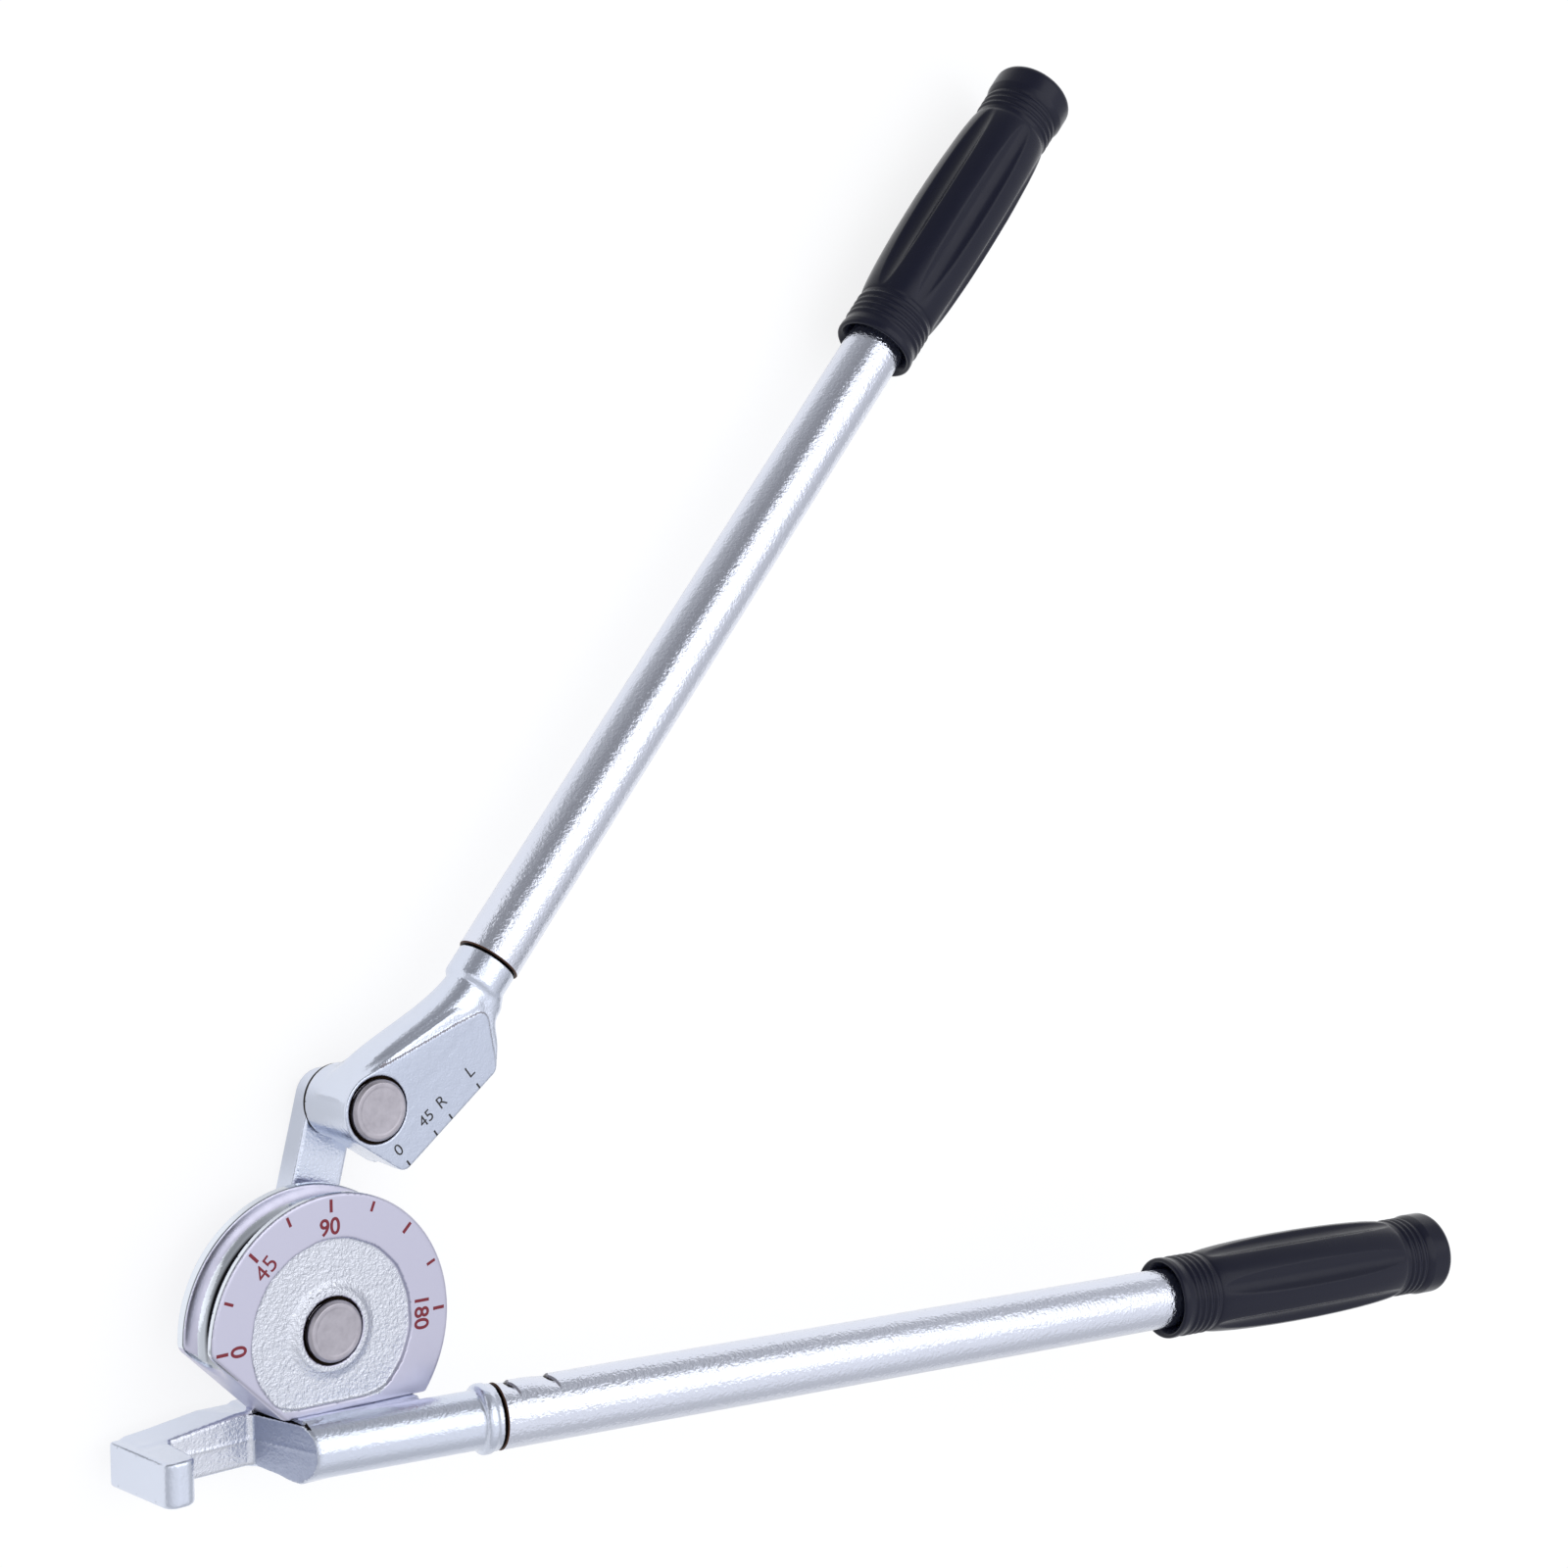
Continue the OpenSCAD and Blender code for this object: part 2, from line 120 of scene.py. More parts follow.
# Handle tubes with their crimps, and grips
tube_r = 9.5
tube_bore_r = 7.5
tube_bare = 236.5
tube_len = 344.0
seam_gap = 0.7
crimp_len = 5.1
crimp_turn = 43.0
crimp_sink = 0.8
crimp_pitch = 12.45
grip_end = 115.3
grip_slim_r = 12.5
grip_swell = 2.36
grip_body_from = 15.5
grip_body_to = 95.5
grip_cap_from = 104.5
grip_cap_r = 13.5
grip_rings = (5.9, 8.3, 10.7, 13.1, 98.1, 100.5, 102.9)
flute_turn = 43.0
flute_centre = 18.9
flute_r = 6.0


def turn(degrees):
    """Unit vector in the plane of the wheel at that angle."""
    a = math.radians(degrees)
    return np.array([math.cos(a), math.sin(a), 0.0])


def place(x, y, at):
    """Matrix with local X and Y along two directions and its origin at a point, in millimetres."""
    m = np.eye(4)
    m[:3, 0] = x
    m[:3, 1] = y
    m[:3, 2] = np.cross(x, y)
    m[:3, 3] = at
    return m


def moved(points, matrix):
    """Points of a local frame, in the shared frame."""
    return np.asarray(points) @ matrix[:3, :3].T + matrix[:3, 3]


lever_pin_at = link_len * turn(link_angle)
lever_axis_at = lever_pin_at - lever_offset * turn(lever_angle + 90)
shoe_turn = lever_angle - shoe_angle
lean = math.radians(bar_lean)
bar_way = np.array([math.cos(lean), 0.0, math.sin(lean)])

on_wheel = np.eye(4)
on_link = place(turn(link_angle), turn(link_angle + 90), (0, 0, 0))
on_lever = place(turn(lever_angle), turn(lever_angle + 90), lever_pin_at)
on_shoe = place(turn(shoe_turn), turn(shoe_turn + 90), lever_pin_at)
# Local Z runs along a handle, local Y is the handle's upper or left side, local X its back
on_bar = place(np.cross((0, 1, 0), bar_way), (0, 1, 0), bar_at)
on_lever_axis = place((0, 0, -1), turn(lever_angle + 90), lever_axis_at)


def linear(hex_colour):
    """Linear colour from an sRGB hex value."""
    out = []
    for i in (0, 2, 4):
        c = int(hex_colour[i:i + 2], 16) / 255
        out.append(c / 12.92 if c <= 0.04045 else ((c + 0.055) / 1.055) ** 2.4)
    return (*out, 1.0)


def add(tree, kind, settings=(), links=()):
    """Adds a node. Settings name an input or a property, links name an input and give its source socket."""
    node = tree.nodes.new(kind)
    for key, value in dict(settings).items():
        if isinstance(key, int) or key in node.inputs:
            node.inputs[key].default_value = value
        else:
            setattr(node, key, value)
    for key, socket in dict(links).items():
        tree.links.new(socket, node.inputs[key])
    return node


def new_object(name, data):
    """Object at the origin, in the scene."""
    item = bpy.data.objects.new(name, data)
    bpy.context.scene.collection.objects.link(item)
    return item


# Materials

def new_material(name, colour, metallic):
    """Material, its tree and shader, and the socket of the object's own coordinates in millimetres."""
    mat = bpy.data.materials.new(name)
    mat.use_nodes = True
    tree = mat.node_tree
    shader = tree.nodes["Principled BSDF"]
    shader.inputs["Base Color"].default_value = linear(colour)
    shader.inputs["Metallic"].default_value = metallic
    coords = add(tree, "ShaderNodeTexCoord")
    to_mm = (1 / MM, 1 / MM, 1 / MM)
    scale = add(tree, "ShaderNodeMapping", {"Scale": to_mm}, {"Vector": coords.outputs["Object"]})
    return mat, tree, shader, scale.outputs["Vector"]


def mottle(tree, shader, where, patch_mm, low, high):
    """Roughness that wanders between two values over patches of that size."""
    grain = {"Scale": 1 / patch_mm, "Detail": 3.0, "Roughness": 0.55}
    noise = add(tree, "ShaderNodeTexNoise", grain, {"Vector": where})
    spread = add(tree, "ShaderNodeMapRange", {1: 0.3, 2: 0.7, 3: low, 4: high}, {0: noise.outputs[0]})
    tree.links.new(spread.outputs[0], shader.inputs["Roughness"])
    return noise


def bumps(tree, shader, where, layers):
    """Stacks bump layers, each a grain size and a height in millimetres and a level of detail."""
    normal = None
    for grain_mm, height_mm, detail in layers:
        grain = {"Scale": 1 / grain_mm, "Detail": detail, "Roughness": 0.6}
        noise = add(tree, "ShaderNodeTexNoise", grain, {"Vector": where})
        links = {"Height": noise.outputs[0]}
        if normal:
            links["Normal"] = normal
        height = {"Strength": 1.0, "Distance": height_mm * MM}
        normal = add(tree, "ShaderNodeBump", height, links).outputs[0]
    tree.links.new(normal, shader.inputs["Normal"])


def finish(name, colour, patch, layers=(), metallic=1.0):
    """Material with roughness patches, given by size, low and high, and with bump layers."""
    mat, tree, shader, where = new_material(name, colour, metallic)
    mottle(tree, shader, where, *patch)
    if layers:
        bumps(tree, shader, where, layers)
    return mat


def chromed_tube():
    # Chrome on drawn steel tube: bright streaks run along it, their edges broken by polishing grain.
    mat, tree, shader, where = new_material("chromed_drawn_tube", "DEE2EE", 1.0)
    mottle(tree, shader, where, 2.5, 0.1, 0.16)
    fold = 20
    box = {"operation": "WRAP", 1: (fold, fold, fold), 2: (-fold, -fold, -fold)}
    folded = add(tree, "ShaderNodeVectorMath", box, {0: where})
    bumps(tree, shader, folded.outputs[0], [(1.1, 0.22, 2.0)])
    return mat


def polished_groove_painted_shade():
    # Chrome polished by the tubes that run in it: white bands, with painted shade, nearly black, deep in the
    # groove.
    bright, shade_black, rim_dark_reflection = "E6ECF4", "121215", "5C5E66"
    mat, tree, shader, where = new_material("chromed_polished_groove_painted_shade", bright, 1.0)
    mottle(tree, shader, where, 3.0, 0.07, 0.14)
    bumps(tree, shader, where, [(0.8, 0.03, 2.0), (4.0, 0.06, 1.0)])
    x, y, z = add(tree, "ShaderNodeSeparateXYZ", (), {0: where}).outputs
    flat = add(tree, "ShaderNodeVectorMath", {"operation": "MULTIPLY", 1: (1, 1, 0)}, {0: where})
    radius = add(tree, "ShaderNodeVectorMath", {"operation": "LENGTH"}, {0: flat.outputs[0]}).outputs["Value"]
    # Painted shade lies deep in the groove, in its front half, and on the wheel's upper left
    shaded = None
    for source, start, full, least in (
        (radius, 36.8, 35.8, 0.0), (z, -3.7, -3.0, 0.0), (y, -9.0, 4.0, 0.25), (x, -8.0, -18.0, 0.0)
    ):
        part = add(tree, "ShaderNodeMapRange", {1: start, 2: full, 3: least}, {0: source}).outputs[0]
        if shaded:
            part = add(tree, "ShaderNodeMath", {"operation": "MULTIPLY"}, {0: shaded, 1: part}).outputs[0]
        shaded = part
    tints = {"data_type": "RGBA", 6: linear(bright), 7: linear(shade_black)}
    painted_shade = add(tree, "ShaderNodeMix", tints, {0: shaded})
    # A thin grey line of painted dark reflection runs along each rim, as far from the middle of the two
    rim_mid_z, rim_off = 0.8, 7.25
    off_rim = z
    for distance in (rim_mid_z, rim_off):
        off_rim = add(tree, "ShaderNodeMath", {"operation": "SUBTRACT", 1: distance}, {0: off_rim}).outputs[0]
        off_rim = add(tree, "ShaderNodeMath", {"operation": "ABSOLUTE"}, {0: off_rim}).outputs[0]
    on_rim_reflection = add(tree, "ShaderNodeMapRange", {1: 0.25, 2: 0.1, 4: 0.7}, {0: off_rim})
    tints = {"data_type": "RGBA", 7: linear(rim_dark_reflection)}
    rim_reflections = add(tree, "ShaderNodeMix", tints, {0: on_rim_reflection.outputs[0], 6: painted_shade.outputs[2]})
    tree.links.new(rim_reflections.outputs[2], shader.inputs["Base Color"])
    return mat


def turned_steel():
    # Bare turned steel: warm grey, tool marks in rings round the pin, cloudy from handling.
    dull, clean = "A29EA6", "CBC7CF"
    mat, tree, shader, where = new_material("bare_turned_steel", dull, 1.0)
    cloud = mottle(tree, shader, where, 2.2, 0.3, 0.46)
    tints = {"data_type": "RGBA", 6: linear(dull), 7: linear(clean)}
    tint = add(tree, "ShaderNodeMix", tints, {0: cloud.outputs[0]})
    tree.links.new(tint.outputs[2], shader.inputs["Base Color"])
    uv = add(tree, "ShaderNodeUVMap", {"uv_map": "turned"})
    bands = {"wave_type": "BANDS", "bands_direction": "Y", "Scale": 0.9, "Distortion": 0.6}
    rings = add(tree, "ShaderNodeTexWave", bands, {"Vector": uv.outputs[0]})
    height = {"Strength": 1.0, "Distance": 0.004 * MM}
    marks = add(tree, "ShaderNodeBump", height, {"Height": rings.outputs[1]})
    tree.links.new(marks.outputs[0], shader.inputs["Normal"])
    return mat


def moulded_grip():
    # Dip-moulded PVC: glossy black with long soft highlights and faint mould flow.
    layers = [(1.2, 0.006, 2.0), (9.0, 0.05, 1.0)]
    mat = finish("moulded_black_pvc", "17192B", (7.0, 0.18, 0.3), layers, metallic=0.0)
    mat.node_tree.nodes["Principled BSDF"].inputs["Specular IOR Level"].default_value = 0.24
    return mat


tube_chrome = chromed_tube()
groove_chrome = polished_groove_painted_shade()
pin_steel = turned_steel()
grip_pvc = moulded_grip()
# Chrome over a tumbled casting: soft rolling reflections with faint pits.
grain = [(0.9, 0.12, 2.0), (5.0, 0.1, 1.0)]
casting_chrome = finish("chromed_tumbled_casting", "D8DEEC", (3.0, 0.15, 0.24), grain)
# Chrome over a faced casting: an even lilac-grey sheen with hardly any grain.
dial_chrome = finish("chromed_faced_dial", "CBCADC", (4.0, 0.28, 0.36), [(0.7, 0.02, 2.0)])
# Chrome over a shot-blasted face: fine blue-grey speckle.
grain = [(0.6, 0.07, 2.0), (3.0, 0.08, 1.0)]
shoe_chrome = finish("chromed_shot_blasted_face", "C6CDDD", (0.9, 0.26, 0.42), grain)
# Chrome over raw sand-cast skin: sparkling grit, drawn wide enough to show.
grain = [(0.85, 0.42, 2.0), (2.6, 0.2, 1.0)]
sand_chrome = finish("chromed_sand_cast_skin", "DADDE6", (1.0, 0.2, 0.36), grain)
# Chrome over finer sand-cast skin: the same grit, lower.
grain = [(0.8, 0.2, 2.0), (2.6, 0.2, 1.0)]
slot_chrome = finish("chromed_fine_cast_skin", "DADDE6", (1.0, 0.2, 0.36), grain)
# Chrome in the deep corner at the bar's end, darkened as painted shade: a dull slate grey.
grain = [(0.9, 0.2, 2.0), (3.0, 0.15, 1.0)]
corner_shade_chrome = finish("chrome_with_painted_corner_shade", "ABB2C7", (1.6, 0.3, 0.44), grain)
# Oiled steel inside the joints: nearly black, a dull sheen. It also serves as painted shade under the wheel
# and on the spigots seen down the seams.
dark_steel_and_shade = finish("oiled_dark_steel_and_painted_shade", "2A2624", (1.5, 0.42, 0.6))
# Sintered bearing bronze soaked in oil, darkened to near black as painted shade in its gap.
bronze_with_gap_shade = finish("oiled_sintered_bronze_painted_gap_shade", "221A13", (0.8, 0.38, 0.55))
# Bare sawn end of the tube in its seam: rust brown.
end_rust = finish("rusted_cut_steel", "54392A", (0.6, 0.45, 0.65), metallic=0.6)
# Painted shade along low steps and the crimp walls: a soft dark grey line.
step_shade = finish("painted_shade_in_steps", "9B99A2", (0.8, 0.4, 0.6), metallic=0.5)
# Enamel wiped into stamped marks: matt and slightly uneven.
red_fill = finish("red_enamel_fill", "7F1A2C", (0.6, 0.42, 0.6), metallic=0.0)
black_fill = finish("black_enamel_fill", "2B2A2C", (0.6, 0.42, 0.6), metallic=0.0)


# Mesh pieces

def dress(piece, body, nodes):
    """Lets a piece ride on a body and stand for CAD nodes."""
    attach(piece, body)
    if nodes:
        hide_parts(*nodes)


def make_piece(name, points_mm, faces, materials, body, nodes):
    """Mesh piece with its place in its vertices."""
    mesh = bpy.data.meshes.new(name)
    mesh.from_pydata((np.asarray(points_mm) * MM).tolist(), [], faces)
    mesh.polygons.foreach_set("use_smooth", np.ones(len(mesh.polygons), bool))
    for mat in materials:
        mesh.materials.append(mat)
    mesh.update()
    piece = new_object(name, mesh)
    dress(piece, body, nodes)
    return piece


def read(items, key):
    """Vectors that mesh items hold, one row each."""
    values = np.zeros(len(items) * 3)
    items.foreach_get(key, values)
    return values.reshape(-1, 3)


def local(points, matrix):
    """Points of a mesh in a local frame, in millimetres."""
    return (points / MM - matrix[:3, 3]) @ matrix[:3, :3]


def off_axis(c):
    """Distance of points from the local Z axis."""
    return np.hypot(c[:, 0], c[:, 1])


def paint(piece, matrix, rules):
    """Gives faces a material number where a rule on their local centres and normals holds."""
    faces = piece.data.polygons
    centres = local(read(faces, "center"), matrix)
    normals = read(faces, "normal") @ matrix[:3, :3]
    number = np.zeros(len(faces), np.int32)
    for i, rule in rules:
        number[rule(centres, normals)] = i
    faces.foreach_set("material_index", number)
    piece.data.update()


# Solid fields: negative inside, about the distance to the surface, in millimetres

def join(a, b, r):
    """Both solids, with a fillet of that radius between them."""
    return np.maximum(r, np.minimum(a, b)) - np.hypot(np.maximum(r - a, 0), np.maximum(r - b, 0))


def both(a, b, r):
    """Where both solids are, with the edge between them rounded to that radius."""
    return np.minimum(-r, np.maximum(a, b)) + np.hypot(np.maximum(r + a, 0), np.maximum(r + b, 0))


def cut(a, b, r):
    """The first solid without the second, with the edge rounded to that radius."""
    return both(a, -b, r)


def between(v, low, high):
    """Slab between two values."""
    return np.abs(v - (low + high) / 2) - (high - low) / 2


def ease(v, low, high):
    """Smooth step from 0 to 1 between two values."""
    t = np.clip((v - low) / (high - low), 0, 1)
    return t * t * (3 - 2 * t)


def rod(p, radius, low, high, r, at=(0, 0, 0), way=(0, 0, 1)):
    """Round bar along a direction, with rounded rims."""
    q = p - np.asarray(at, float)
    s = q @ np.asarray(way, float)
    radial = np.sqrt(np.maximum((q * q).sum(-1) - s * s, 0))
    return both(radial - radius, between(s, low, high), r)


def beyond(p, distance, degrees):
    """Positive past a plane at that distance from the wheel's axis."""
    return p @ turn(degrees) - distance


def skin(field, low, high, step):
    """Closed quad surface of a field inside a box, its points drawn onto the surface."""
    axes = [np.arange(a, b + step, step) for a, b in zip(low, high)]
    grid = np.stack(np.meshgrid(*axes, indexing="ij"), -1)
    inside = field(grid) < 0
    n = [len(a) - 1 for a in axes]
    corners = np.zeros(n, np.int8)
    for i, j, k in np.ndindex(2, 2, 2):
        corners += inside[i:i + n[0], j:j + n[1], k:k + n[2]]
    mixed = (corners > 0) & (corners < 8)
    number = np.full(mixed.shape, -1, np.int64)
    number[mixed] = np.arange(mixed.sum())
    start = np.argwhere(mixed) * step + np.asarray(low, float) + step / 2
    points = start.copy()
    rounds, probe, leash = 5, 0.02, 0.95 * step
    for _ in range(rounds):
        value = field(points)
        slope = np.stack(
            [(field(points + probe * e) - field(points - probe * e)) / (2 * probe) for e in np.eye(3)], -1
        )
        points -= slope * (value / np.maximum((slope * slope).sum(-1), 0.1))[:, None]
        points = np.clip(points, start - leash, start + leash)
    quads = []
    for a in range(3):
        b, c = (a + 1) % 3, (a + 2) % 3
        first = np.take(inside, range(n[a]), a)
        change = np.argwhere(first != np.take(inside, range(1, n[a] + 1), a))
        keep = (change[:, b] > 0) & (change[:, b] < n[b]) & (change[:, c] > 0) & (change[:, c] < n[c])
        change = change[keep]
        eb, ec = np.eye(3, dtype=int)[b], np.eye(3, dtype=int)[c]
        quad = np.stack(
            [number[tuple((change - i * eb - j * ec).T)] for i, j in ((1, 1), (0, 1), (0, 0), (1, 0))], 1
        )
        out = first[tuple(change.T)]
        quads.append(np.where(out[:, None], quad, quad[:, ::-1]))
    return points, np.concatenate(quads).tolist()


# Form wheel: grooved disc with the dial face, sunk field and pin boss

def wheel_field(p):
    rho, z = np.hypot(p[..., 0], p[..., 1]), p[..., 2]
    body = both(rho - bend_r, between(z, back_z, face_z), 0.8)
    body = cut(body, np.hypot(rho - bend_r, z) - groove_r, 0.5)
    body = both(body, beyond(p, lead_flat_r - lead_flat_draft * z, lead_flat_angle), 1.3)
    body = join(body, rod(p, boss_r, hub_z, 0, 0.4), 0.8)
    body = both(body, beyond(p, seat_r, seat_angle), 0.35)
    # The sunk field's edge wanders a little, and its floor climbs to the boss
    about = np.arctan2(p[..., 1], p[..., 0])
    wander = 0.12 * np.sin(7 * about) + 0.09 * np.sin(17 * about + 1)
    plan = both(rho - recess_r + wander, beyond(p, seat_r - recess_land, seat_angle), 3.5)
    floor_z = recess_z + 0.9 * (1 - ease(rho, boss_r - 0.5, boss_r + 2.5))
    pocket = both(both(plan, boss_r - rho, 0.2), floor_z - z, 0.6)
    body = cut(body, pocket, 0.45)
    return cut(body, rho - bush_r, 0.3)


points, quads = skin(wheel_field, (-39, -24, -13.2), (39, 39, 9.2), 0.46)
skins = [dial_chrome, sand_chrome, groove_chrome, dark_steel_and_shade]
DIAL, SAND, GROOVE, BORE = range(4)
wheel = make_piece("form_wheel_cast", points, quads, skins, "form_handle", ["form_wheel"])


def in_bore(c, n):
    return (off_axis(c) < bush_r + 0.1) & (c[:, 2] < bush_top_z)


def in_recess(c, n):
    inside = (off_axis(c) < recess_r - 0.3) & (c @ turn(seat_angle) < seat_r - recess_land)
    return inside & (c[:, 2] > recess_z - 0.4)


def in_groove(c, n):
    rim = (off_axis(c) > bend_r - 7) & (between(c[:, 2], -9.2, 8.0) < 0)
    return rim & (n[:, 2] < 0.8) & (n @ turn(lead_flat_angle) < 0.9)


paint(wheel, on_wheel, [
    (SAND, in_recess),
    # The groove's material holds painted shade deep in the groove and painted dark reflection lines on the
    # rims
    (GROOVE, in_groove),
    (DIAL, lambda c, n: off_axis(c) < bush_r + 0.4),
    (BORE, in_bore),
])


# Hook casting: hook, arm, seat block, bar, collar bead and spigot

def hook_field(p):
    x, y, z = p[..., 0], p[..., 1], p[..., 2]
    # The underside leans down from the arm to the bar
    lean_y, lean_z, lean_len = -17.9, -2.05, 18.02
    slope = ((y - hook_base_y) * lean_y + (z - hook_front_z) * lean_z) / lean_len
    base = np.minimum(hook_base_y - y, slope)
    mass = both(between(x, block_back, block_front), -beyond(p, seat_r, seat_angle), 0.3)
    mass = both(mass, base, 1.2)
    mass = both(mass, between(z, hook_back_z, bar_at[2]), 1.2)
    chamfer = 9
    mass = both(mass, ((x - block_front) - (z - hook_back_z)) / math.sqrt(2) + chamfer, 2.0)
    mass = join(mass, rod(p, bar_r, -30, bead_end, 0.3, bar_at, bar_way), 1.2)
    skew = math.radians(bar_end_skew)
    end_face = (x - bar_end) * math.cos(skew) - z * math.sin(skew)
    mass = cut(mass, np.maximum(end_face, hook_front_z - z), 0.8)
    # The arm's top climbs toward the wheel, its back edge first
    climb_skew, climb_len, climb_high = 0.9, 28, 3.3
    climb = np.clip((x - hook_outer_x + 2 - climb_skew * (z - hook_back_z)) / climb_len, 0, 1)
    top = np.maximum(y - hook_top_y - climb_high * climb, beyond(p, seat_r, seat_angle) * -1 + 0.2)
    arm = both(both(top, hook_base_y - y, 1.0), between(z, hook_back_z, hook_front_z), 1.3)
    arm = both(arm, between(x, hook_outer_x + 3, -6), 1.0)
    sides = np.maximum(x - hook_inner_x + hook_draft * z, hook_outer_x + hook_draft * z - x)
    head = both(both(sides, z - hook_tip_z, 3.6), hook_back_z - z, 1.2)
    head = both(both(head, y - hook_top_y, 0.9), hook_base_y - y, 1.4)
    mass = join(mass, join(arm, head, 1.4), 2.0)
    # A thin parting line runs at mid-height along the slot
    line_high, line_y, line_w = 0.22, -30, 0.45
    along_slot = (x > hook_inner_x + 1) & (x < -8)
    line = line_high * np.exp(-((y - line_y) / line_w) ** 2) * along_slot
    mass = mass - line * (np.maximum(z - hook_front_z, end_face) > -1.5) * (end_face < 1.5)
    # The slot beside the wheel lies lower than the wheel's seat
    tilt = math.radians(-90 - seat_angle)
    across = x * math.cos(tilt) - y * math.sin(tilt)
    up = x * math.sin(tilt) + y * math.cos(tilt)
    slot = np.maximum(across - seat_relief_at, -seat_r - seat_relief - up)
    mass = cut(mass, np.maximum(slot, hook_front_z - z), 0.2)
    mass = join(mass, rod(p, bead_r, bead_start, bead_end, 1.5, bar_at, bar_way), 0.8)
    mass = join(mass, rod(p, tube_r, 42, bar_socket, 0.4, bar_at, bar_way), 0.3)
    return np.minimum(mass, rod(p, spigot_r, 44, bar_socket + spigot_len, 0.5, bar_at, bar_way))


points, quads = skin(hook_field, (-56.5, -42.5, -18.3), (83, -19, 30), 0.48)
skins = [casting_chrome, slot_chrome, dark_steel_and_shade, corner_shade_chrome]
SLOT, DARK_STEEL_AND_SHADE, CORNER_SHADE = 1, 2, 3
hook = make_piece(
    "hook_casting_cast", points, quads, skins, "form_handle", ["hook_casting"]
)


def on_slot_wall(c, n):
    return (c[:, 2] < -4) & (n[:, 2] > 0.8) & (c[:, 0] > -44) & (c[:, 0] < -15)


# Painted shade: the bar's end face, deep in the corner beside the wheel, is a dull slate grey
def on_bar_end(c, n):
    return (n[:, 0] < -0.85) & (c[:, 0] > -18.5) & (c[:, 0] < -8)


# Painted shade: the slot's floor under the wheel's edge takes the nearly black steel
def shade_under_wheel(c, n):
    level = (np.abs(c[:, 1] + seat_r + seat_relief) < 0.7) & (n[:, 1] > 0.6)
    return level & (c[:, 0] < seat_relief_at + 0.4) & (c[:, 2] > hook_front_z)


# The spigot seen down the seam takes the nearly black steel: partly its own colour, partly painted shade
def on_bar_spigot(c, n):
    past = c - np.array(bar_at)
    along = past @ bar_way
    out = np.linalg.norm(past - along[:, None] * bar_way, axis=1)
    return (along > bar_socket + 0.1) & (out < 9.0)


paint(hook, on_wheel, [
    (SLOT, on_slot_wall),
    (CORNER_SHADE, on_bar_end),
    (DARK_STEEL_AND_SHADE, shade_under_wheel),
    (DARK_STEEL_AND_SHADE, on_bar_spigot),
])


# Lever casting: boss, grooved shoe, arm, neck and spigot, drawn with the lever along X

def hull_sides(circles):
    """Outward directions and distances of the sides of the hull round some circles."""
    angles = np.radians(np.arange(0, 360, 3))
    ways = np.stack([np.cos(angles), np.sin(angles)], 1)
    reach = np.max([ways @ np.array(c[:2]) + c[2] for c in circles], axis=0)
    return ways, reach


def hull_field(sides, along, off):
    """Distance to the outline of a hull in the plane."""
    out = np.full(along.shape, -1e9)
    for (wx, wy), reach in zip(*sides):
        np.maximum(out, along * wx + off * wy - reach, out=out)
    return out


# Circles, each a place along and off the shoe and a radius
boss_circle, lip_circle = (0, 0, lever_boss_r), (-2.5, -17, 3)
shoe_body = hull_sides([boss_circle, lip_circle, (34.8, -17, 3), (43.0, -7.5, 3), (41.5, -1.5, 3)])
shoe_pad = hull_sides([boss_circle, lip_circle, (34.0, -17, 3), (40.0, -5.4, 3)])


def lever_field(p):
    x, y, z = p[..., 0], p[..., 1], p[..., 2]
    c, s = math.cos(math.radians(shoe_angle)), math.sin(math.radians(shoe_angle))
    along, off = x * c - y * s, x * s + y * c
    # The shoe's body is rounded at the nose, and its flat face is a low pad on it
    nose = 0.6 + 1.8 * ease(along, 33, 40) * ease(off, -16, -10)
    plate = both(hull_field(shoe_body, along, off), between(z, -face_z, pad_floor_z), nose)
    pad = both(hull_field(shoe_pad, along, off), between(z, 0, face_z), 0.3)
    plate = join(plate, pad, 0.12)
    # The arm goes from a flat bar at the boss to a round neck
    t = np.clip(x / neck_start, 0, 1)
    top, bottom = lever_boss_r - 12.9 * ease(x, 0, 47), -8 - 11 * t
    middle, high = (top + bottom) / 2, (top - bottom) / 2
    deep, power = 8.0 - 0.1 * t, 4.5 - 2.5 * t
    oval = (np.abs((y - middle) / high) ** power + np.abs(z / deep) ** power) ** (1 / power) - 1
    arm = both(oval * np.minimum(high, deep), between(x, -4, neck_start + 2), 0.4)
    body = join(plate, rod(p, lever_boss_r, hub_z, face_z, 0.6), 0.1)
    body = join(body, arm, 0.9)
    heel_x, heel_y, heel_z, heel_r = 44.3, -14.9, 2.4, 5.4
    heel = np.sqrt((x - heel_x) ** 2 + (y - heel_y) ** 2 + (z - heel_z) ** 2) - heel_r
    body = join(body, heel, 1.5)
    neck = both(np.hypot(y + lever_offset, z) - neck_r, neck_start - x, 1.5)
    body = join(body, both(neck, x - lever_socket, 0.5), 1.2)
    axis_at, axis_way = (0, -lever_offset, 0), (1, 0, 0)
    spigot = rod(p, spigot_r, lever_socket - 1, lever_socket + spigot_len, 0.5, axis_at, axis_way)
    body = np.minimum(body, spigot)
    body = cut(body, np.hypot(off + shoe_reach, z) - groove_r, 0.5)
    return cut(body, np.hypot(x, y) - bush_r, 0.3)


points, quads = skin(lever_field, (-12, -30, -13.2), (93, 12, 10), 0.42)
skins = [casting_chrome, shoe_chrome, dark_steel_and_shade, step_shade]
FACE, DARK_STEEL_AND_SHADE, STEP_SHADE = 1, 2, 3
lever = make_piece(
    "lever_casting_cast", moved(points, on_lever), quads, skins, "lever", ["lever_casting"]
)


